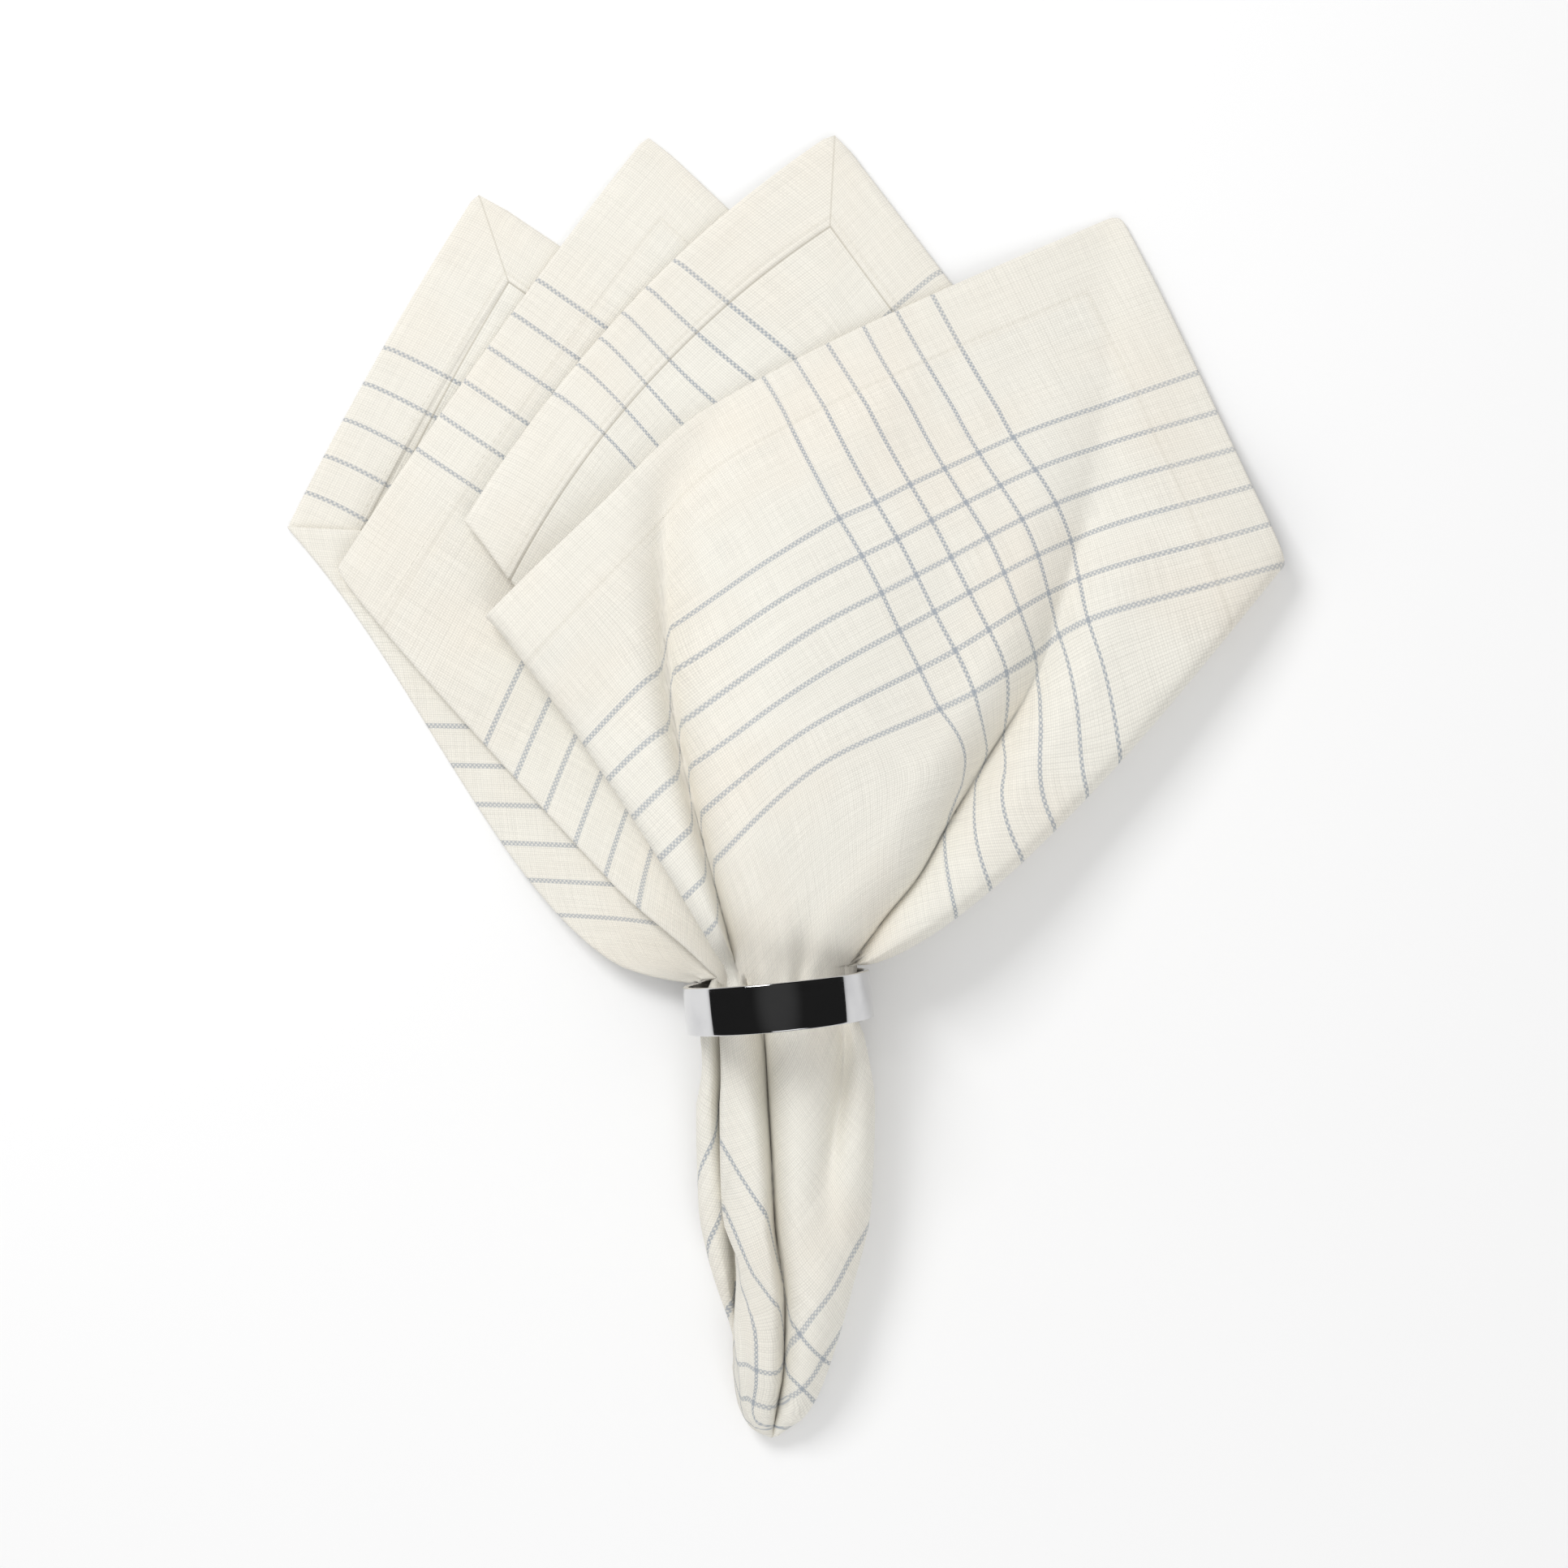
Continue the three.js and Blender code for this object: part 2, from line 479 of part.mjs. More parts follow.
// Move a run of points onto one round turn between its neighbours, as far as share says
function easeRun(points, isInRun, edge, share) {
  if (share <= 0) return points;
  const run = points.map((point, index) => index).filter((index) => isInRun(points[index]));
  const before = points[run[0] - 1];
  const after = points[(run[run.length - 1] + 1) % points.length];
  const eased = [...points];
  run.forEach((index, order) => {
    const way = (order + 1) / (run.length + 1);
    const target = {
      x: mix(mix(before.x, after.x, way), edge, Math.sin(way * Math.PI) ** TURN_FULLNESS),
      y: mix(before.y, after.y, way),
      z: mix(before.z, after.z, way),
    };
    const point = points[index];
    eased[index] = {
      ...point,
      x: mix(point.x, target.x, share),
      y: mix(point.y, target.y, share),
      z: mix(point.z, target.z, share),
    };
  });
  return eased;
}

// Towards the tip the hidden pleats die out into the rounded sides of the bundle
function fadePleats(points, station) {
  if (station.tail === undefined) return points;
  const middle = tableAt(TAIL, 'middle', station.tail);
  const half = tableAt(TAIL, 'half', station.tail);
  const hookFade = 1 - smoothstep(HOOK_FADE.gone, HOOK_FADE.full, station.tail);
  const pleatFade = 1 - smoothstep(PLEAT_FADE.gone, PLEAT_FADE.full, station.tail);
  const hookEdge = middle + FOLDS[PANELS[0].end].across * half;
  const unhooked = easeRun(points, (point) => point.hook, hookEdge, hookFade);
  return easeRun(unhooked, (point) => point.inner, middle - half, pleatFade);
}

// Closed sheet from rows of section points: right and wrong side, the rim at the hem and the closed tip
function sheetGeometry(rows, tip, extra) {
  const count = rows[0].length;
  const at = (row, column) => rows[row][(column + count) % count];
  const rightSide = [];
  const wrongSide = [];
  rows.forEach((points, row) => {
    points.forEach((point, column) => {
      const below = row === 0 ? tip : at(row - 1, column);
      const above = row === rows.length - 1 ? point : at(row + 1, column);
      const before = at(row, column - 1);
      const after = at(row, column + 1);
      const along = new THREE.Vector3(above.x - below.x, above.y - below.y, above.z - below.z);
      const round = new THREE.Vector3(after.x - before.x, after.y - before.y, after.z - before.z);
      const normal = along.cross(round).normalize();
      const middle = new THREE.Vector3(point.x, point.y, point.z);
      const half = (CLOTH_THICKNESS / 2) * point.pressed;
      rightSide.push(middle.clone().addScaledVector(normal, half));
      wrongSide.push(middle.clone().addScaledVector(normal, -half - extra(row)));
    });
  });
  const tipRight = new THREE.Vector3(tip.x, tip.y - CLOTH_THICKNESS / 2, tip.z);
  const tipWrong = new THREE.Vector3(tip.x, tip.y + CLOTH_THICKNESS / 2, tip.z);
  const vertices = [...rightSide, ...wrongSide, tipRight, tipWrong];
  const wrong = rightSide.length;
  const triangles = [];
  const last = rows.length - 1;
  for (let column = 0; column < count; column += 1) {
    const next = (column + 1) % count;
    triangles.push([2 * wrong, column, next], [2 * wrong + 1, wrong + next, wrong + column]);
    for (let row = 0; row < last; row += 1) {
      const a = row * count + column;
      const b = row * count + next;
      const c = a + count;
      const d = b + count;
      triangles.push([a, d, b], [a, c, d]);
      triangles.push([wrong + a, wrong + b, wrong + d], [wrong + a, wrong + d, wrong + c]);
    }
    const edge = last * count;
    triangles.push([edge + column, wrong + edge + next, edge + next]);
    triangles.push([edge + column, wrong + edge + column, wrong + edge + next]);
  }
  const geometry = new THREE.BufferGeometry();
  const positions = vertices.flatMap((vertex) => [vertex.x, vertex.y, vertex.z]);
  geometry.setAttribute('position', new THREE.Float32BufferAttribute(positions, 3));
  geometry.setIndex(triangles.flat());
  geometry.computeVertexNormals();
  return geometry;
}

function napkinMesh() {
  const stations = [...TAIL_STATIONS.map((tail) => ({ tail })), ...FAN_STATIONS.map((fan) => ({ fan }))];
  const rows = stations.map((station) => fadePleats(section(station), station));
  const first = rows[0];
  const tip = { x: TAIL[0].middle, y: 0, z: first.reduce((sum, point) => sum + point.z, 0) / first.length };
  const hemExtra = (row) => (stations[row].fan > FAN_HEM_STATION ? HEM_EXTRA_THICKNESS : 0);
  const material = new THREE.MeshStandardMaterial({ color: 0xf0eada, roughness: 0.92, metalness: 0 });
  const mesh = new THREE.Mesh(sheetGeometry(rows, tip, hemExtra), material);
  mesh.name = 'napkin';
  mesh.position.set(TIP.x, TIP.y, 0);
  return mesh;
}

// Flat band with rounded edges, turned about its own axis so that it stands on one flat facet
function ringMesh() {
  const outer = RING.outerRadius;
  const inner = outer - RING.wall;
  const half = RING.width / 2;
  const round = RING.edgeRound;
  const profile = new THREE.Shape();
  profile.moveTo(inner + round, -half);
  profile.lineTo(outer - round, -half);
  profile.absarc(outer - round, -half + round, round, -Math.PI / 2, 0, false);
  profile.lineTo(outer, half - round);
  profile.absarc(outer - round, half - round, round, 0, Math.PI / 2, false);
  profile.lineTo(inner + round, half);
  profile.absarc(inner + round, half - round, round, Math.PI / 2, Math.PI, false);
  profile.lineTo(inner, -half + round);
  profile.absarc(inner + round, -half + round, round, Math.PI, Math.PI * 1.5, false);
  const points = profile.getPoints(3);
  points[points.length - 1] = points[0].clone();
  const geometry = new THREE.LatheGeometry(points, RING.facets, Math.PI / RING.facets);
  const material = new THREE.MeshStandardMaterial({ color: 0xc9cacc, roughness: 0.12, metalness: 1 });
  const mesh = new THREE.Mesh(geometry, material);
  mesh.name = 'napkin_ring';
  mesh.rotation.z = RING.turn * RAD;
  const standing = outer * Math.cos(Math.PI / RING.facets);
  mesh.position.set(TIP.x + RING.x, TIP.y + RING.y, standing);
  return mesh;
}

const napkinInRing = new THREE.Group();
napkinInRing.add(napkinMesh(), ringMesh());

export default napkinInRing;
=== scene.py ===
"""A square cloth napkin, drawn by its centre through a polished ring and fanned out flat.

The cloth is one thin sheet that runs back and forth through all its folds, with a turned and stitched hem.
Its tables are in millimetres from the tip of the tail, its meshes in metres in the part's own frame.
"""

import logging
import math
from dataclasses import dataclass, field
from enum import Enum

import bpy
import numpy as np
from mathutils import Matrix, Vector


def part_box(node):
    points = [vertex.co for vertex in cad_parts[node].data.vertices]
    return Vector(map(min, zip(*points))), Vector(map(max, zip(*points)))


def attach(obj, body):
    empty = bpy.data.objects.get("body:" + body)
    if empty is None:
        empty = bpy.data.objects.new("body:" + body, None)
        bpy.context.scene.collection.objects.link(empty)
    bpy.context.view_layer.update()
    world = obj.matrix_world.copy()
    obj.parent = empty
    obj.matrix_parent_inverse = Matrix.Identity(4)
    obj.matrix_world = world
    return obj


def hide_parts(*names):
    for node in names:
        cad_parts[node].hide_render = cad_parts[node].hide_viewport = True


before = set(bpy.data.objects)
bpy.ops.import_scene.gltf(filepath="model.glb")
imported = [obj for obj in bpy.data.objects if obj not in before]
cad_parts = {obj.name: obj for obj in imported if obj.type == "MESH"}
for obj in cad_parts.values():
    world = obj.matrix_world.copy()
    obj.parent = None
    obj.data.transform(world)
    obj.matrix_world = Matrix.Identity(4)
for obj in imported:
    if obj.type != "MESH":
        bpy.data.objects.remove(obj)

log = logging.getLogger("napkin_in_ring")

MM = 0.001
BODY = "root"
Array = np.ndarray
Numbers = float | np.ndarray
Socket = bpy.types.NodeSocket
Triple = tuple[float, float, float]
Colour = tuple[float, float, float, float]
Ramp = tuple[float, float, float, float]


class Slot(Enum):
    """Material slots of the record."""

    CLOTH = "cloth"
    METAL = "metal"


class Side(Enum):
    """The two faces of the cloth, with the sign of their offset along the sheet's normal."""

    RIGHT = 1
    WRONG = -1


@dataclass(frozen=True)
class Knot:
    """Value of something at one place on its way."""

    y: float
    value: float


@dataclass(frozen=True)
class Mark:
    """A place on the front of the cloth, from the tip, and the place on the flat cloth that lies there."""

    x: float
    y: float
    flat_x: float
    flat_y: float


@dataclass(frozen=True)
class Fold:
    """A fold or corner of the cloth, in order round the flat square.

    flat is its angle on the square, plan its direction from the tip, to the right of +Y, and reach its
    distance from the tip as a share of its flat distance. across is its place in the gathered bundle,
    from -1 at the left to 1 at the right. bulge is how far it swings out on its way from the ring to the
    hem, most at peak, and bow the swell of the hem up to the next fold, or crown where it is uneven.
    slack is cloth taken up by the roll near the hem, drift the flat angles that come to lie at the fold's
    place in the tail, and spread how the cloth up to the next fold is eased: its share of the way as
    seen, and on the flat cloth.
    """

    name: str
    flat: float
    plan: float
    reach: float
    across: float
    bulge: float = 0.0
    peak: float = 0.5
    bow: float = 0.0
    crown: tuple[Knot, ...] = ()
    slack: float = 0.0
    drift: tuple[Knot, ...] = ()
    spread: tuple[Knot, ...] = ()


@dataclass(frozen=True)
class Panel:
    """Cloth between one fold and the next: its place in the stack, its height in the ring and its strips."""

    name: str
    start: int
    end: int
    level: int
    gathered: float
    parts: tuple[int, ...]
    inner: bool = False


@dataclass(frozen=True)
class Tuck:
    """Hidden folds that draw back to a place across the bundle as the tail narrows from full to gone."""

    folds: tuple[str, ...]
    to: float
    full: float
    gone: float


@dataclass(frozen=True)
class Ridge:
    """A section across a soft roll: its height up the part, its feet and crest, and how high it stands."""

    y: float
    left: float
    crest: float
    right: float
    lift: float


@dataclass(frozen=True)
class Pleat:
    """A small soft trough that runs up from the ring: its place and lean, half width, length and depth."""

    x: float
    lean: float
    half: float
    length: float
    depth: float


@dataclass(frozen=True)
class TailRow:
    """A section of the tail: middle and half width in plan, share of the ring's height, drop below it."""

    y: float
    middle: float
    half: float
    stack: float
    drop: float


@dataclass(frozen=True)
class Fade:
    """Heights up the tail between which something goes from gone to full."""

    gone: float
    full: float

    def at(self, y: Numbers) -> Numbers:
        """Share of the full effect at a height up the tail."""
        return smoothstep(self.gone, self.full, y)


@dataclass(frozen=True)
class Station:
    """One row of the sheet: a height up the tail, or a share of the way from the ring to the hem."""

    tail: float | None = None
    fan: float | None = None


def smoothstep(low: float, high: float, value: Numbers) -> Numbers:
    """Smooth step from 0 at low to 1 at high."""
    share = np.clip((value - low) / (high - low), 0.0, 1.0)
    return share * share * (3.0 - 2.0 * share)


def mix(a: Numbers, b: Numbers, share: Numbers) -> Numbers:
    """Value between a and b."""
    return a + (b - a) * share


def table(kind: type, *rows: tuple) -> tuple:
    """Rows of a table as objects of one kind."""
    return tuple(kind(*row) for row in rows)


LEFT_DRIFT = table(Knot, (20, 275), (33, 278), (50, 287.5), (72, 291.3), (118, 299.6))
FRONT_CROWN = table(Knot, (0, 0), (0.27, 9), (0.47, 14.1), (0.61, 15.7), (0.8, 8.2), (1, 0))
CORNER_SPREAD = table(Knot, (0, 0), (0.299, 0.3176), (1, 1))
THIRD_SPREAD = table(Knot, (0, 0), (0.29, 0.265), (0.62, 0.656), (1, 1))

FOLDS: tuple[Fold, ...] = (
    Fold("right_roll", 29.6, 30.66, 0.977, 1.0, bulge=10, peak=0.34, bow=1.5, slack=14.5),
    Fold("front_corner", 45, 16.14, 1.001, 0.3, crown=FRONT_CROWN),
    Fold("front_left", 80.6, -18.72, 0.946, -0.62, bulge=-3),
    Fold("third_tuck", 96.5, -2.6, 0.970, -0.08),
    Fold("third_left", 112.4, -18.1, 0.987, -0.5, bulge=-4, bow=8.5, spread=THIRD_SPREAD),
    Fold("third_corner", 135, 3.03, 1.028, 0.15, spread=CORNER_SPREAD),
    Fold("right_tuck_top", 160, 26.5, 0.985, 0.74),
    Fold("right_tuck_in", 175.9, 12.1, 0.985, 0.3),
    Fold("right_tuck_low", 191.8, 26.5, 0.987, 0.74),
    Fold("second_corner", 225, -5.17, 1.029, -0.1, bow=2),
    Fold("second_left", 247.8, -26.09, 0.996, -0.86, bulge=3, peak=0.6, slack=9.5),
    Fold("first_tuck", 272.85, -1.05, 0.983, -0.1),
    Fold(
        "left_roll", 299.6, -27.79, 0.994, -1.0, bulge=16.7, peak=0.24, bow=1.5, slack=12, drift=LEFT_DRIFT
    ),
    Fold("first_corner", 315, -13.05, 1.006, -0.45),
    Fold("back_tuck_top", 348.1, 20, 0.979, 0.66),
    Fold("back_tuck_in", 363.5, 4.6, 0.986, 0.1),
)

PANELS: tuple[Panel, ...] = (
    Panel("front", 0, 2, 9, 24.0, (58, 84)),
    Panel("third_fold_low", 2, 3, 6, 17.2, (10,), inner=True),
    Panel("third_fold_top", 3, 4, 7, 19.4, (10,), inner=True),
    Panel("third", 4, 6, 8, 21.6, (38, 22), inner=True),
    Panel("right_fold_top", 6, 7, 7, 19.4, (8,), inner=True),
    Panel("right_fold_low", 7, 8, 6, 17.2, (8,), inner=True),
    Panel("second", 8, 10, 5, 15.0, (22, 40), inner=True),
    Panel("first_fold_top", 10, 11, 4, 12.8, (10,), inner=True),
    Panel("first_fold_low", 11, 12, 3, 10.6, (30,), inner=True),
    Panel("first", 12, 14, 2, 8.4, (30, 20)),
    Panel("back_fold_top", 14, 15, 1, 6.2, (10,)),
    Panel("back_fold_low", 15, 16, 0, 4.0, (14,)),
)

TUCKS: tuple[Tuck, ...] = (
    Tuck(("front_left",), -0.76, 126, 112),
    Tuck(("front_left",), -1.0, 50, 18),
    Tuck(("second_left",), -0.55, 124, 112),
    Tuck(("third_tuck",), -0.5, 104, 64),
    Tuck(("third_left",), -0.15, 104, 64),
    Tuck(("right_tuck_in",), 0.7, 90, 52),
    Tuck(("first_tuck",), -0.35, 90, 52),
    Tuck(("back_tuck_in",), 0.8, 104, 64),
    Tuck(("back_tuck_top",), 0.4, 104, 64),
    Tuck(("third_corner", "right_tuck_top", "right_tuck_in", "right_tuck_low", "second_corner"), 0, 72, 44),
)
TUCK_LEFT = 0.2

MARKS: tuple[Mark, ...] = table(
    Mark,
    (98.4, 340, 250, 250), (46, 317, 199.5, 250), (36, 312.5, 188, 250), (27, 308, 176.5, 250),
    (17, 303, 165, 250), (8, 298.5, 153.5, 250), (-1, 294, 142, 250), (-17, 284.5, 123.5, 250),
    (-47, 255.5, 82, 250), (-77, 227, 41.4, 250), (68, 276.5, 199.5, 199.5), (58.5, 272, 188, 199.5),
    (49, 267.5, 176.5, 199.5), (39.5, 263, 165, 199.5), (30, 258, 153.5, 199.5),
    (20, 253.5, 142, 199.5), (79.5, 258, 199.5, 176.5), (70, 253.5, 188, 176.5),
    (60.5, 248.5, 176.5, 176.5), (50.5, 243, 165, 176.5), (41, 238, 153.5, 176.5),
    (31.5, 233, 142, 176.5), (88, 226, 199.5, 142), (80.5, 222, 188, 142), (73.5, 216.5, 176.5, 142),
    (65.5, 211.5, 165, 142), (56.5, 206, 153.5, 142), (47, 201.5, 142, 142), (75, 194, 176.5, 124),
    (65, 192.5, 165, 125), (60.5, 189.5, 153.5, 125.5), (57.5, 181.5, 153.5, 117),
    (53.5, 182, 142, 120.5), (49.5, 171.5, 142, 109), (97.5, 184, 199.5, 113.3),
    (89, 174.5, 188, 106.8), (80.5, 165.5, 176.5, 100.3), (71.5, 157, 165, 93.7),
    (62.5, 149, 153.5, 87.2), (52, 143.5, 142, 80.7), (120, 295.5, 250, 199.5),
    (128, 273.5, 250, 176.5), (143, 242, 250, 142), (-22.5, 226, 87, 199.5), (-19.5, 200, 79, 176.5),
    (-10.5, 163.5, 67.5, 142), (-31, 210.5, 65.5, 199.5), (-25.5, 182, 50.5, 176.5),
    (-14.5, 142.5, 36.5, 142), (-51, 190.5, 36, 199.5), (-36.5, 171.5, 33, 176.5),
    (-18, 138.5, 31, 142), (-3.5, 239, 112, 199.5), (3.5, 216.5, 108, 176.5), (15, 186.5, 104, 142),
    (-11.5, 82.5, 27.5, 84), (-5, 72, 27.5, 73), (0.5, 62.5, 27.5, 62), (-10.5, 63.5, 16.5, 67.5),
    (-3, 47, 16.5, 51), (2, 40, 16.5, 42.5), (-5, 38.5, 5.5, 44), (-2.5, 20.5, 5.5, 27.5),
    (-3.5, 11, 5.5, 16.5), (-9.5, 22, -2, 27.5), (3.5, 20, 12, 27.5), (3, 9.5, 11.5, 16.5),
    (-6.5, 12, 1.5, 16.5), (9.5, 31, 27.5, 27.5), (8, 33, 27.5, 29.5), (15.5, 24, 27.5, 16.5),
    (19, 44.5, 44, 27.5), (24, 54, 55, 27.5), (10, 15.5, 16.5, 16.5), (13.5, 10.5, 16.5, 10.5),
    (6.5, 12.5, 11.5, 16.5), (-12.5, 100, 35, 103), (12.5, 100, 75, 75), (28.5, 82, 77, 41),
    (27.5, 110, 104, 57),
)
VALLEY_TAKES: tuple[Knot, ...] = table(
    Knot,
    (8, 0), (20, 4), (36, 11), (62, 10), (110, 14), (160, 17), (200, 14), (222, 12), (250, 5), (285, 0),
)

LEFT_ROLL: tuple[Ridge, ...] = table(
    Ridge,
    (2, -5, -0.5, 2, 3), (8.6, -7.5, 0, 2.8, 6), (20, -10.5, 1, 4.9, 9.5), (38, -11, 1.5, 5.3, 12.5),
    (60, -11.5, -0.7, 2.5, 15.5), (83, -13.4, -3.2, 1.4, 16), (110, -14.6, -7.7, -0.6, 15.5),
    (118, -15, -8, -1.5, 14), (130, -15, -10.5, -7.6, 11), (150, -26, -17, -12.9, 10.5),
    (175, -43, -25.5, -19.7, 11), (199, -62, -32.5, -25.3, 10.5), (223, -82, -37, -27.6, 9),
    (256, -86, -41, -28.7, 6), (280, -62, -28, -15.2, 2.5), (300, -40, -15, -5, 0.5),
)
MOUND: tuple[Ridge, ...] = table(
    Ridge,
    (2, 2, 4, 6.5, 2.5), (8.6, 3.6, 7.8, 12.8, 6.5), (20, 5, 10.5, 17.4, 10.5),
    (38, 5.2, 11.5, 22.5, 14), (60, 2.4, 9.5, 19.5, 17), (83, 1.2, 9.5, 21, 19),
    (110, -0.6, 8.5, 24, 19), (118, -1.5, 8, 23.5, 17), (130, -7.6, 6, 23.3, 11),
    (143, -11, 8, 31, 13.5), (156, -14.5, 11, 41.5, 14.5), (170, -18.3, 14, 49.5, 15),
    (184, -22, 16, 58, 14.5), (212, -27, 20, 74.5, 11.5), (244, -28.8, 25, 85, 7),
    (280, -15.2, 34, 92, 2.5), (300, -5, 42, 96, 0.5),
)
RIGHT_ROLL: tuple[Ridge, ...] = table(
    Ridge,
    (8, 5, 8, 13.5, 5), (20, 7, 12, 18.5, 9), (38, 8, 15, 24, 12), (60, 9, 19, 29.5, 15.5),
    (83, 16, 24, 32.5, 16.5), (110, 20.5, 25.5, 30, 15.5), (118, 20, 25, 30, 13),
    (131, 23.7, 29, 37, 5), (143, 31, 43, 54.5, 9), (156, 41.5, 58, 74.5, 11), (170, 49.5, 71, 90, 12),
    (184, 58, 82, 103.5, 11.5), (212, 74.5, 104, 128, 9), (244, 85, 124, 151, 5),
    (262, 95, 136, 170, 2),
)
SIDE_ROLL: tuple[Ridge, ...] = table(
    Ridge,
    (20, -10, -8, -6, 1), (30, -13.5, -9.5, -7, 3), (42, -17, -12, -8.6, 5), (60, -20.5, -14.8, -10, 6),
    (83, -21.5, -16.5, -11.8, 9), (98, -22.5, -18, -12.5, 13), (110, -23.5, -19, -13, 17),
    (117, -23.5, -19, -13, 16), (124, -23.5, -18.5, -12.5, 8), (131, -23, -18, -12, 1),
    (138, -23, -18, -12, 0),
)
SIDE_ROLL_LEVEL = 3
FRONT_ROLLS = ((LEFT_ROLL, 40.0), (MOUND, 17.0), (RIGHT_ROLL, 17.0))
SIDE_ROLLS = ((SIDE_ROLL, 40.0),)

PLEATS: tuple[Pleat, ...] = table(
    Pleat,
    (-3.6, -0.25, 2.4, 26, 2.6), (3.0, 0.05, 1.8, 17, 1.2), (9.0, 0.12, 2.2, 30, 2.8),
    (14.2, 0.3, 1.7, 16, 1.4), (18.4, 0.55, 2.4, 26, 2.6),
)

TAIL: tuple[TailRow, ...] = table(
    TailRow,
    (0, 1.5, 3.2, 0.2, 2.4), (1.2, 1.6, 5.4, 0.27, 2.8), (4, 2.2, 7.9, 0.36, 3.2),
    (9, 2.7, 10.2, 0.47, 3.5), (20, 4.0, 13.2, 0.62, 3.5), (42, 4.8, 18.8, 0.82, 3.5),
    (65, 5.2, 23.6, 0.95, 3.5), (92, 5.4, 24.4, 1.0, 2.6), (110, 4.4, 23.4, 1.0, 0.6),
    (115, 3.4, 22.6, 1.0, 0.0),
)


def fold_at(row: int) -> Fold:
    """Fold of a number, counted on round the square."""
    return FOLDS[row % len(FOLDS)]


def smooth_column(rows: tuple, column: str, y: Numbers) -> Numbers:
    """Smooth value of one column of a table at a height up the part.

    Args:
        rows: the table's rows, upwards.
        column: the column's name.
        y: heights.

    Returns:
        Values on a curve through the rows that never swings beyond them.
    """
    knots = np.array([row.y for row in rows])
    values = np.array([getattr(row, column) for row in rows])
    gaps = np.diff(knots)
    slopes = np.diff(values) / gaps
    same = slopes[:-1] * slopes[1:] > 0
    total = np.where(same, slopes[:-1] + slopes[1:], 1.0)
    inner = np.where(same, 2.0 * slopes[:-1] * slopes[1:] / total, 0.0)
    tangents = np.concatenate([slopes[:1], inner, slopes[-1:]])
    spot = np.clip(np.searchsorted(knots, y) - 1, 0, len(gaps) - 1)
    t = np.clip((y - knots[spot]) / gaps[spot], 0.0, 1.0)
    straight = mix(values[spot], values[spot + 1], smoothstep(0.0, 1.0, t))
    lead = t * (1.0 - t) ** 2 * tangents[spot] - t * t * (1.0 - t) * tangents[spot + 1]
    return straight + gaps[spot] * lead


def convex_outline(points: Array) -> Array:
    """Convex outline round a set of points in plan, counterclockwise."""
    ordered = sorted(map(tuple, points))

    def chain(sequence: list[tuple[float, float]]) -> list[tuple[float, float]]:
        """One half of the outline."""
        kept: list[tuple[float, float]] = []
        for point in sequence:
            while len(kept) > 1:
                (ax, ay), (bx, by) = kept[-2], kept[-1]
                if (bx - ax) * (point[1] - ay) - (by - ay) * (point[0] - ax) > 0:
                    break
                kept.pop()
            kept.append(point)
        return kept[:-1]

    return np.array(chain(ordered) + chain(ordered[::-1]))


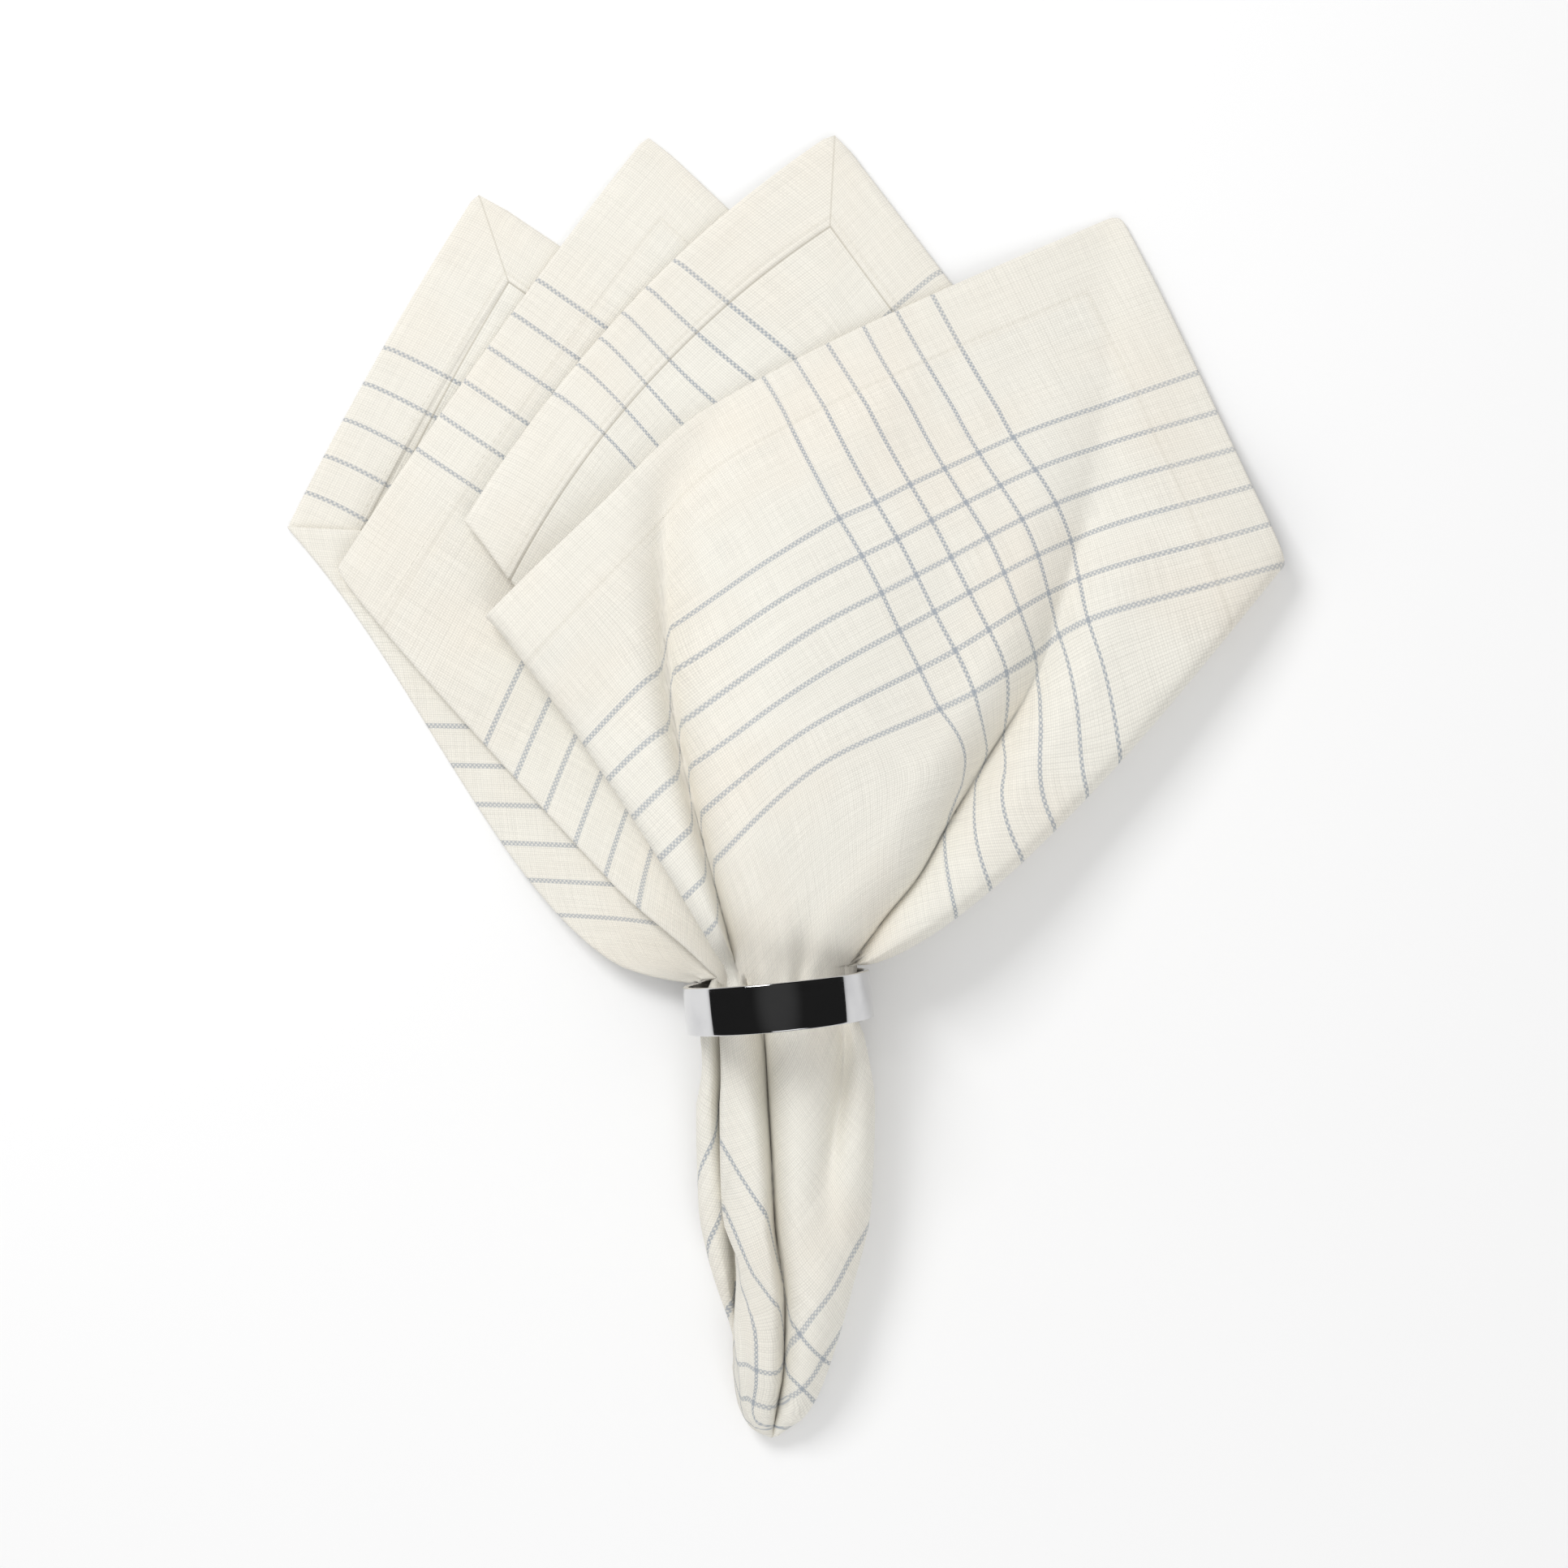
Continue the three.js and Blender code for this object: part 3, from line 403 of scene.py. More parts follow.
@dataclass
class FoldedShape:
    """The middle surface of the folded cloth, in millimetres from the tip of the tail."""

    side: float = 500.0
    hem: float = 18.75
    layer_pitch: float = 2.0
    floor: float = 0.3
    edge_lead: float = 6.0
    edge_spread: float = 60.0
    ring_radius: float = 25.5
    ring_x: float = 3.4
    ring_y: float = 122.2
    ring_width: float = 13.0
    ring_turn: float = 5.5
    grip_radius: float = 22.6
    grip_reach: float = 34.0
    grip_max_rise: float = 0.98
    grip_below: float = 4.0
    tail_grip: float = 18.0
    fan_settle: float = 84.0
    hook: Fade = Fade(50, 64)
    pleats: Fade = Fade(18, 50)
    slant_fade: Fade = Fade(60, 112)
    tip_round: tuple[float, float, float] = (14.0, 3.2, 1.2)
    tip_wrap: tuple[float, float] = (6.0, 6.0)
    mark_hem: tuple[float, float] = (205.0, 230.0)
    mark_fold: tuple[float, float] = (4.0, 0.08)
    mark_tip: tuple[float, float] = (1.0, 8.0)
    marked_folds: tuple[str, ...] = ("right_roll", "front_left")
    valley_half: float = 2.2
    valley_way: tuple[float, float] = (1.0, -0.75)
    hook_in: float = 0.1
    corner_cut: float = 1.7
    corner_left: float = 0.3
    sinking_levels: int = 3
    base_panel: int = 9
    crease_floor: float = 4.0
    ring_change: tuple[float, float] = (112.0, 131.0)
    crispness: tuple[float, float] = (0.9, 0.1)
    softening: tuple[float, float] = (145.0, 225.0)
    roll_meeting: float = 5.0
    bow_full: float = 0.75
    turn_steps: int = 8
    turn_deepest: float = 3.5
    turn_fullness: float = 0.6
    turn_least: float = 0.4
    turn_widest: float = 0.3
    swing_roundness: float = 0.6
    hem_station: float = 0.87
    hook_panels: tuple[str, ...] = ("third_fold_low", "third_fold_top")
    ring_lead: float = 1.5
    length_steps: int = 40
    outline_shares: tuple[float, ...] = (0, 0.06, 0.14, 0.24, 0.36, 0.5, 0.7, 1)
    outline_hem: tuple[float, ...] = (0.3, 0.7, 1.0)
    pleat_hold: float = 0.3
    slack_run: float = 60.0
    ring_top: float = field(init=False)
    slant: float = field(init=False)
    outlines: list[Array] = field(init=False)
    fan_lengths: list[float] = field(init=False)
    mark_pulls: Array = field(init=False)

    def __post_init__(self) -> None:
        """Work out the ring's upper edge, the panels' outlines, the folds' lengths and the marks' pulls."""
        self.ring_top = self.ring_y + self.ring_width / 2 + self.ring_lead
        self.slant = math.tan(math.radians(self.ring_turn))
        self.outlines = [self.panel_outline(panel) for panel in PANELS]
        shares = np.linspace(0.0, 1.0, self.length_steps)
        self.fan_lengths = []
        for fold in FOLDS:
            steps = np.diff(self.fan_path(fold, shares), axis=0)
            self.fan_lengths.append(float(np.hypot(steps[:, 0], steps[:, 1]).sum()))
        places = np.array([(mark.x, mark.y) for mark in MARKS])
        wanted = np.array([(mark.flat_x, mark.flat_y) for mark in MARKS]) - self.valley(places)
        level = np.column_stack([np.ones(len(MARKS)), places])
        spring = self.mark_springs(places)
        system = np.block([[spring, level], [level.T, np.zeros((3, 3))]])
        self.mark_pulls = np.linalg.solve(system, np.vstack([wanted, np.zeros((3, 2))]))

    def valley(self, places: Array) -> Array:
        """Flat cloth that the deep crease between the rolls takes up, seen from its left side."""
        x, y = places.T
        beyond = smoothstep(-self.valley_half, self.valley_half, x - smooth_column(MOUND, "left", y))
        taken = smooth_column(VALLEY_TAKES, "value", y) * beyond
        return np.multiply.outer(taken, np.array(self.valley_way))

    def mark_springs(self, places: Array) -> Array:
        """How strongly each mark bends the cloth at places in plan, like a thin plate."""
        apart = np.array([np.hypot(places[:, 0] - mark.x, places[:, 1] - mark.y) for mark in MARKS]).T
        return apart**2 * np.log(np.maximum(apart, 1e-9))

    def marked_places(self, plan: Array) -> Array:
        """Places on the flat cloth that lie at places on the front, smooth through all marks."""
        smooth = np.column_stack([self.mark_springs(plan), np.ones(len(plan)), plan]) @ self.mark_pulls
        return smooth + self.valley(plan)

    def flat_edge(self, fold: Fold) -> Array:
        """Place of a fold on the edge of the flat square, from its centre."""
        angle = math.radians(fold.flat)
        radius = self.side / 2 / max(abs(math.cos(angle)), abs(math.sin(angle)))
        return radius * np.array([math.cos(angle), math.sin(angle)])

    def hem_point(self, fold: Fold) -> Array:
        """Place of a fold's hem in plan."""
        distance = fold.reach * float(np.hypot(*self.flat_edge(fold)))
        angle = math.radians(fold.plan)
        return distance * np.array([math.sin(angle), math.cos(angle)])

    def fan_path(self, fold: Fold, share: Array) -> Array:
        """Way of a fold from the ring to the hem, with its outward swing."""
        offset = fold.across * self.grip_radius
        start = np.array([self.ring_x + offset, self.ring_top + offset * self.slant])
        run = self.hem_point(fold) - start
        skew = (1.0 - fold.peak) / fold.peak
        fall = np.maximum(0.0, 1.0 - share) / (1.0 - fold.peak)
        hump = (share / fold.peak * fall**skew) ** self.swing_roundness
        swing = math.copysign(fold.bulge, fold.across * fold.bulge) * hump / np.hypot(*run)
        return start + np.multiply.outer(share, run) + np.multiply.outer(swing, np.array([run[1], -run[0]]))

    def strip(self, fold: Fold, start: Array, end: Array, share: Array, bow: float) -> Array:
        """Places across the cloth between two folds, swollen out by the first fold's bow or crown."""
        run = end - start
        swell = fold.bow * 4.0 * share * (1.0 - share)
        if fold.crown:
            swell = smooth_column(fold.crown, "value", share)
        swell = swell * bow * np.sign(run[0]) / np.hypot(*run)
        return start + np.multiply.outer(share, run) + np.multiply.outer(swell, np.array([-run[1], run[0]]))

    def panel_outline(self, panel: Panel) -> Array:
        """Plan outline of a panel in the fan, for laying one panel over another."""
        shares, hem = np.array(self.outline_shares), np.array(self.outline_hem)
        points = [self.fan_path(fold_at(row), shares) for row in (panel.start, panel.end)]
        for row in range(panel.start, panel.end):
            here, onward = fold_at(row), fold_at(row + 1)
            points.append(self.strip(here, self.hem_point(here), self.hem_point(onward), hem, 1.0))
        return convex_outline(np.vstack(points))

    def cover(self, outline: Array, x: Array, y: Array) -> Array:
        """How fully a panel lies under a place: 1 on it, dying out beyond its edges."""
        edge = np.roll(outline, -1, axis=0) - outline
        length = np.hypot(edge[:, 0], edge[:, 1])
        off_x, off_y = np.subtract.outer(x, outline[:, 0]), np.subtract.outer(y, outline[:, 1])
        outside = ((off_x * edge[:, 1] - off_y * edge[:, 0]) / length).max(axis=-1)
        return 1.0 - smoothstep(self.edge_lead, self.edge_spread, outside)

    def tail_row(self, column: str, y: Numbers) -> Numbers:
        """Value of one column of the tail's table at a height up the tail."""
        return smooth_column(TAIL, column, y)

    def roll_lift(self, rolls: tuple, x: Array, y: Array) -> Array:
        """Lift of soft rolls that lie side by side: round and crisp in the tail, softer in the fan.

        Args:
            rolls: tables of the rolls, each with the greatest width of its flanks.
            x, y: places in plan.

        Returns:
            Heights above the cloth that the rolls stand on.
        """
        crisp = mix(*self.crispness, smoothstep(*self.softening, y))
        columns = ("left", "crest", "right", "lift")
        total = np.zeros(x.shape)
        for rows, flank in rolls:
            left, crest, right, lift = (smooth_column(rows, name, y) for name in columns)
            rise, fall = (np.minimum(flank, width) for width in (crest - left, right - crest))
            below = 1.0 - np.clip(np.where(x < crest, (x - left) / rise, (right - x) / fall), 0.0, 1.0)
            profile = mix(1.0 - below**2, np.sqrt(1.0 - below**2), crisp)
            total = total + (lift * profile) ** self.roll_meeting
        return total ** (1.0 / self.roll_meeting)

    def pleat_depth(self, x: Array, y: Array) -> Array:
        """Depth of the small pleats above the ring."""
        up = y - self.ring_y
        depth = np.zeros(x.shape)
        for pleat in PLEATS:
            off = (x - pleat.x - pleat.lean * up) / (pleat.half * (1.0 + np.maximum(0.0, up) / pleat.length))
            end = 1.0 - smoothstep(self.pleat_hold * pleat.length, pleat.length, up)
            reach = smoothstep(-self.ring_width, 0.0, up) * end
            depth = depth + pleat.depth * reach * np.exp(-off * off)
        return depth

    def height(self, panel: Panel, x: Array, y: Array) -> Array:
        """Height of a panel's middle surface above the floor.

        Args:
            panel: the panel.
            x, y: places in plan.

        Returns:
            Heights in millimetres.
        """
        front, lowest, base = PANELS[0], PANELS[-1].gathered, PANELS[self.base_panel].gathered
        sinks = panel.level < self.sinking_levels
        stack = self.tail_row("stack", y)
        under = min(panel.gathered, base) - lowest
        low = lowest - self.tail_row("drop", y) + under * stack * (self.hook.at(y) if sinks else 1.0)
        rolls = self.roll_lift(FRONT_ROLLS, x, y) - self.pleat_depth(x, y) if panel is front else 0.0
        share = max(0.0, panel.gathered - base) / (front.gathered - base)
        tail = low + share * self.crease_floor * stack + rolls
        beside = np.maximum(0.0, np.abs(x - self.ring_x) - self.grip_radius)
        settled = smoothstep(0.0, self.fan_settle, np.hypot(beside, np.maximum(0.0, y - self.ring_top)))
        layers = np.zeros(x.shape)
        for other, outline in zip(PANELS, self.outlines):
            if other.level < panel.level:
                layers = layers + self.cover(outline, x, y)
        fan = mix(panel.gathered, self.floor + self.layer_pitch * layers, settled) + rolls
        height = mix(tail, fan, smoothstep(*self.ring_change, y))
        if panel.level == SIDE_ROLL_LEVEL:
            height = height + self.roll_lift(SIDE_ROLLS, x, y)
        return height

    def across(self, fold: Fold, tail: float) -> float:
        """Place of a fold across the bundle at a height up the tail."""
        place = fold.across
        for tuck in TUCKS:
            if fold.name in tuck.folds:
                place = mix(tuck.to, place, mix(TUCK_LEFT, 1.0, smoothstep(tuck.gone, tuck.full, tail)))
        return place

    def fan_share(self, fold: Fold, station: float) -> float:
        """Share of a fold's way from the ring to the hem at which it crosses a station of the fan."""
        edge = float(np.hypot(*self.flat_edge(fold)))
        hem = 1.0 - 2.0 * self.hem / self.side * edge / self.fan_lengths[FOLDS.index(fold)]
        if station <= self.hem_station:
            return station / self.hem_station * hem
        return mix(hem, 1.0, (station - self.hem_station) / (1.0 - self.hem_station))

    def place(self, fold: Fold, station: Station) -> Array:
        """Place of a fold in plan at a station."""
        if station.fan is not None:
            return self.fan_path(fold, np.array([self.fan_share(fold, station.fan)]))[0]
        tail = station.tail
        middle, half = self.tail_row("middle", tail), self.tail_row("half", tail)
        height, rise, turn = self.tip_round
        across = self.across(fold, tail)
        dip = (1.0 - smoothstep(0.0, height, tail)) * rise * (1.0 - math.cos(across * turn))
        lean = across * half * self.slant * self.slant_fade.at(tail)
        return np.array([middle + across * half, tail + lean + dip])

    def flat_place(self, fold: Fold, station: Station) -> Array:
        """Place of a fold on the flat cloth at a station, from the cloth's centre."""
        edge = self.flat_edge(fold)
        radius = float(np.hypot(*edge))
        length = self.fan_lengths[FOLDS.index(fold)]
        if station.fan is None:
            wrap, reach = self.tip_wrap
            arc = station.tail + wrap * (1.0 - math.exp(-station.tail / reach))
            short = radius - length + fold.slack - self.ring_top - wrap
            distance = arc + short * smoothstep(self.ring_top / 2, self.ring_top, station.tail)
            angle = smooth_column(fold.drift, "value", station.tail) if fold.drift else fold.flat
        else:
            back = (1.0 - self.fan_share(fold, station.fan)) * length
            distance = radius - back + fold.slack * smoothstep(0.0, self.slack_run, back)
            angle = fold.flat
        flat = distance * np.array([[math.cos(math.radians(angle)), math.sin(math.radians(angle))]])
        if fold.name in self.marked_folds:
            flat = self.drawn_to_marks(flat, self.place(fold, station)[None])
        return flat[0]

    def drawn_to_marks(self, flat: Array, plan: Array) -> Array:
        """Flat places of the front drawn to its marks, but for its hem and the tip."""
        free = (1.0 - smoothstep(*self.mark_hem, flat)) * smoothstep(*self.mark_tip, plan[:, 1:])
        return mix(flat, self.marked_places(plan), free)

    def drawn_in(self, points: Array, station: Station) -> Array:
        """Points drawn in to the ring's circle near it."""
        if station.fan is None:
            ring_low = self.ring_y - self.ring_width / 2 - self.grip_below
            away = np.full(len(points), max(0.0, ring_low - station.tail) * self.grip_reach / self.tail_grip)
            middle = self.tail_row("middle", station.tail)
        else:
            away = np.maximum(0.0, points[:, 1] - self.ring_top)
            middle = self.ring_x
        hold = 1.0 - smoothstep(0.0, self.grip_reach, away)
        off = points[:, 0] - middle
        hold = hold * (1.0 - smoothstep(self.grip_radius, 2.0 * self.grip_radius, np.abs(off)))
        rise = np.minimum(self.grip_max_rise, np.abs(points[:, 2] - self.ring_radius) / self.grip_radius)
        chord = mix(1.0, np.sqrt(1.0 - rise * rise), hold)
        drawn = points.copy()
        drawn[:, 0] = middle + off * chord
        return drawn

    def turn_inset(self, half_height: float, width: float) -> float:
        """Distance from a fold's edge at which its round turn begins."""
        return min(max(half_height, self.turn_least), self.turn_widest * width, self.turn_deepest)

    def panel_strip(self, panel: Panel, places: list[Array], bow: float) -> Array:
        """Points of one panel's section, clear of the round turns at its two folds."""
        count = len(FOLDS)
        ends = np.array([places[panel.start % count], places[panel.end % count]])
        width = float(np.hypot(*(ends[1] - ends[0])))
        index = PANELS.index(panel)
        beside = (PANELS[index - 1], PANELS[(index + 1) % len(PANELS)])
        own = self.height(panel, ends[:, 0], ends[:, 1])
        insets = []
        for spot, other in enumerate(beside):
            onto = self.height(other, ends[spot : spot + 1, 0], ends[spot : spot + 1, 1])[0]
            insets.append(self.turn_inset(abs(own[spot] - onto) / 2, width))
        strip = []
        for segment, part in enumerate(panel.parts):
            row = panel.start + segment
            near, far = places[row % count], places[(row + 1) % count]
            gap = float(np.hypot(*(far - near)))
            first = insets[0] / gap if segment == 0 else 0.0
            last = 1.0 - insets[1] / gap if segment == len(panel.parts) - 1 else 1.0
            shares = mix(first, last, np.linspace(0.0, 1.0, part + 1)[0 if segment == 0 else 1 :])
            strip.append(self.strip(fold_at(row), near, far, shares, bow))
        plan = self.blunted(panel, np.vstack(strip))
        return np.column_stack([plan, self.height(panel, plan[:, 0], plan[:, 1])])

    def blunted(self, panel: Panel, plan: Array) -> Array:
        """A panel's places in plan, with the tip of its corner pressed blunt."""
        for corner in FOLDS[panel.start + 1 : panel.end]:
            tip = self.hem_point(corner)
            out = tip / np.hypot(*tip)
            beyond = np.maximum(0.0, (plan - tip) @ out + self.corner_cut)
            plan = plan - np.multiply.outer(beyond * (1.0 - self.corner_left), out)
        return plan

    def fold_turn(self, before: Array, fold: Array, after: Array) -> Array:
        """Round turn from the end of one panel, past the fold's place in plan, to the start of the next."""
        angle = np.arange(1, self.turn_steps) / self.turn_steps * math.pi
        straight = before + np.multiply.outer(0.5 - 0.5 * np.cos(angle), after - before)
        straight[:, :2] += (fold - straight[:, :2]) * np.sin(angle)[:, None]
        return straight

    def section(self, station: Station) -> tuple[Array, Array]:
        """One closed section of the cloth, back and forth through all panels and round at every fold.

        Args:
            station: the row of the sheet.

        Returns:
            Points of the middle surface, and their places on the flat cloth.
        """
        places = [self.place(fold, station) for fold in FOLDS]
        count = len(FOLDS)
        points: list[Array] = []
        inner: list[bool] = []
        hooked: list[bool] = []
        anchors: dict[int, int] = {}
        bow = 0.0 if station.fan is None else smoothstep(0.0, self.bow_full, station.fan)
        strips = [self.panel_strip(panel, places, bow) for panel in PANELS]
        for index, (panel, strip) in enumerate(zip(PANELS, strips)):
            after, onward = PANELS[(index + 1) % len(PANELS)], strips[(index + 1) % len(PANELS)]
            stops = np.cumsum(panel.parts)[:-1]
            anchors.update({panel.start + 1 + spot: len(inner) + stop for spot, stop in enumerate(stops)})
            turn = self.fold_turn(strip[-1], places[panel.end % count], onward[0])
            points += [strip, turn]
            inner += [panel.inner] * len(strip)
            anchors[panel.end % count] = len(inner) + self.turn_steps // 2 - 1
            inner += [panel.inner or after.inner] * len(turn)
            hook, next_hook = (entry.name in self.hook_panels for entry in (panel, after))
            hooked += [hook] * len(strip) + [hook or next_hook] * len(turn)
        loop = self.drawn_in(np.vstack(points), station)
        loop = self.fade_pleats(loop, station, np.array(inner), np.array(hooked))
        return loop, self.flat_places(loop, station, anchors)

    def flat_places(self, loop: Array, station: Station, anchors: dict[int, int]) -> Array:
        """Places of a section's points on the flat cloth, spread between the folds by length."""
        flat = np.zeros((len(loop), 2))
        step = np.linalg.norm(np.roll(loop, -1, axis=0) - loop, axis=1)
        for row, fold in enumerate(FOLDS):
            onward = fold_at(row + 1)
            first, last = anchors[row], anchors[(row + 1) % len(FOLDS)]
            run = np.arange(first, last + (len(loop) if last < first else 0) + 1) % len(loop)
            length = np.concatenate([[0.0], np.cumsum(step[run[:-1]])])
            near, far = self.flat_place(fold, station), self.flat_place(onward, station)
            share = length / length[-1]
            if fold.spread and station.fan is not None:
                share = smooth_column(fold.spread, "value", share)
            flat[run] = near + np.multiply.outer(share, far - near)
        front = PANELS[0]
        run = np.arange(anchors[front.start] - len(loop), anchors[front.end] + 1) % len(loop)
        flat[run] = self.eased_front(loop[run], flat[run])
        return flat

    def eased_front(self, points: Array, flat: Array) -> Array:
        """Flat places of the front panel drawn to its marks, and spread by length round its two folds."""
        step = np.linalg.norm(np.diff(points, axis=0), axis=1)
        along = np.concatenate([[0.0], np.cumsum(step)])
        most, part = self.mark_fold
        share = smoothstep(0.0, min(most, part * along[-1]), np.minimum(along, along[-1] - along))
        return mix(flat, self.drawn_to_marks(flat, points[:, :2]), share[:, None])

    def ease(self, loop: Array, run: Array, edge: float, share: float) -> Array:
        """Move a run of points onto one round turn between its neighbours, as far as share says."""
        if share <= 0.0:
            return loop
        before, after = loop[run[0] - 1], loop[(run[-1] + 1) % len(loop)]
        way = np.arange(1, len(run) + 1) / (len(run) + 1)
        target = before + np.multiply.outer(way, after - before)
        target[:, 0] = mix(target[:, 0], edge, np.sin(way * math.pi) ** self.turn_fullness)
        eased = loop.copy()
        eased[run] = mix(loop[run], target, share)
        return eased

    def fade_pleats(self, loop: Array, station: Station, inner: Array, hooked: Array) -> Array:
        """Let the hidden pleats die out into the rounded sides of the bundle towards the tip."""
        if station.fan is not None:
            return loop
        middle, half = self.tail_row("middle", station.tail), self.tail_row("half", station.tail)
        edge = middle + (self.across(FOLDS[PANELS[0].end], station.tail) + self.hook_in) * half
        loop = self.ease(loop, np.flatnonzero(hooked), edge, 1.0 - self.hook.at(station.tail))
        return self.ease(loop, np.flatnonzero(inner), middle - half, 1.0 - self.pleats.at(station.tail))


class NodeBoard:
    """A node tree with short ways to add and join its nodes."""

    def __init__(self, tree: bpy.types.NodeTree) -> None:
        """Take over a tree and clear it."""
        self.tree = tree
        tree.nodes.clear()

    def add(self, kind: str, **settings: object) -> bpy.types.Node:
        """Add a node of a kind, with its settings."""
        node = self.tree.nodes.new(kind)
        for name, value in settings.items():
            setattr(node, name, value)
        return node

    def put(self, socket: Socket, value: object) -> None:
        """Join a socket to another, or set its value."""
        if isinstance(value, Socket):
            self.tree.links.new(value, socket)
        else:
            socket.default_value = value

    def fill(self, node: bpy.types.Node, values: dict[str | int, object]) -> bpy.types.Node:
        """Join or set a node's inputs, given by name or number."""
        for name, value in values.items():
            self.put(node.inputs[name], value)
        return node

    def math(self, operation: str, *values: object) -> Socket:
        """Result of a calculation on sockets or numbers."""
        node = self.add("ShaderNodeMath", operation=operation)
        return self.fill(node, dict(enumerate(values))).outputs[0]

    def ramp(self, value: object, low: float, high: float, start: float, end: float) -> Socket:
        """Smooth change from start at low to end at high."""
        node = self.add("ShaderNodeMapRange", interpolation_type="SMOOTHSTEP")
        names = ("Value", "From Min", "From Max", "To Min", "To Max")
        return self.fill(node, dict(zip(names, (value, low, high, start, end)))).outputs["Result"]

    def blend(self, share: object, first: object, second: object, mode: str = "MIX") -> Socket:
        """Colour mixed from two by a share."""
        node = self.add("ShaderNodeMix", data_type="RGBA", blend_type=mode)
        return self.fill(node, {0: share, 6: first, 7: second}).outputs[2]

    def noise(self, vector: Socket, scale: float, detail: float = 2.0) -> Socket:
        """Soft noise over a vector."""
        values = {"Vector": vector, "Scale": scale, "Detail": detail}
        return self.fill(self.add("ShaderNodeTexNoise"), values).outputs["Fac"]

    def stretched(self, vector: Socket, scale: Triple, shift: Triple = (0.0, 0.0, 0.0)) -> Socket:
        """Vector scaled along its axes, then shifted."""
        values = {"Vector": vector, "Location": shift, "Scale": scale}
        return self.fill(self.add("ShaderNodeMapping"), values).outputs["Vector"]

    def axes(self, vector: Socket) -> list[Socket]:
        """The three axes of a vector."""
        return list(self.fill(self.add("ShaderNodeSeparateXYZ"), {0: vector}).outputs)

    def object_place(self) -> Socket:
        """Place in the piece's own coordinates."""
        return self.add("ShaderNodeTexCoord").outputs["Object"]

    def group(self, tree: bpy.types.NodeTree, **values: object) -> bpy.types.Node:
        """A node group with its inputs set."""
        node = self.add("ShaderNodeGroup", node_tree=tree)
        return self.fill(node, {name.title(): value for name, value in values.items()})

    def surface(self, values: dict[str | int, object]) -> None:
        """Finish a material with its shader, given by the names of the shader's sockets."""
        shader = self.fill(self.add("ShaderNodeBsdfPrincipled"), values)
        self.fill(self.add("ShaderNodeOutputMaterial"), {"Surface": shader.outputs[0]})


def new_material(name: str) -> tuple[bpy.types.Material, NodeBoard]:
    """Start a material with an empty board."""
    material = bpy.data.materials.new(name)
    material.use_nodes = True
    return material, NodeBoard(material.node_tree)


def new_group(
    name: str, inputs: dict[str, str], outputs: dict[str, str]
) -> tuple[NodeBoard, bpy.types.Node, bpy.types.Node]:
    """Start a shader node group.

    Args:
        name: the group's name.
        inputs, outputs: socket names and their types.

    Returns:
        The group's board, its input node and its output node.
    """
    tree = bpy.data.node_groups.new(name, "ShaderNodeTree")
    for direction, sockets in (("INPUT", inputs), ("OUTPUT", outputs)):
        for socket, kind in sockets.items():
            tree.interface.new_socket(name=socket, in_out=direction, socket_type=f"NodeSocket{kind}")
    board = NodeBoard(tree)
    return board, board.add("NodeGroupInput"), board.add("NodeGroupOutput")


@dataclass(frozen=True)
class WeaveFinish:
    """Plain weave: thread pitch in millimetres, how much threads differ and how round they are."""

    pitch: float = 0.65
    slub_along: float = 0.05
    slub_across: float = 1.5
    crossing: float = 0.5
    lump: float = 0.6
    roundness: float = 0.7

    def group(self) -> bpy.types.NodeTree:
        """Node group that gives the weave's height, the tint of its threads and where the warp lies on top.

        Returns:
            The group, with the flat place in millimetres as its input.
        """
        kinds = dict.fromkeys(("Height", "Tint", "Warp"), "Float")
        board, given, out = new_group("plain_weave", {"Flat": "Vector"}, kinds)
        flat, rate = given.outputs["Flat"], math.pi / self.pitch
        waves = [board.math("SINE", board.math("MULTIPLY", axis, rate)) for axis in board.axes(flat)[:2]]
        checks = board.math("MULTIPLY", *waves)
        warp = board.noise(board.stretched(flat, (self.slub_across, self.slub_along, 1.0)), 1.0)
        weft = board.noise(board.stretched(flat, (self.slub_along, self.slub_across, 1.0)), 1.0)
        over = board.ramp(checks, -self.crossing, self.crossing, 0.0, 1.0)
        under = board.math("SUBTRACT", 1.0, over)
        slub = board.math("ADD", board.math("MULTIPLY", over, warp), board.math("MULTIPLY", under, weft))
        lump = board.math("MULTIPLY", slub, self.lump)
        round_thread = board.math("MULTIPLY", board.math("ABSOLUTE", checks), self.roundness)
        board.fill(out, {"Height": board.math("ADD", round_thread, lump), "Tint": slub, "Warp": over})
        return board.tree


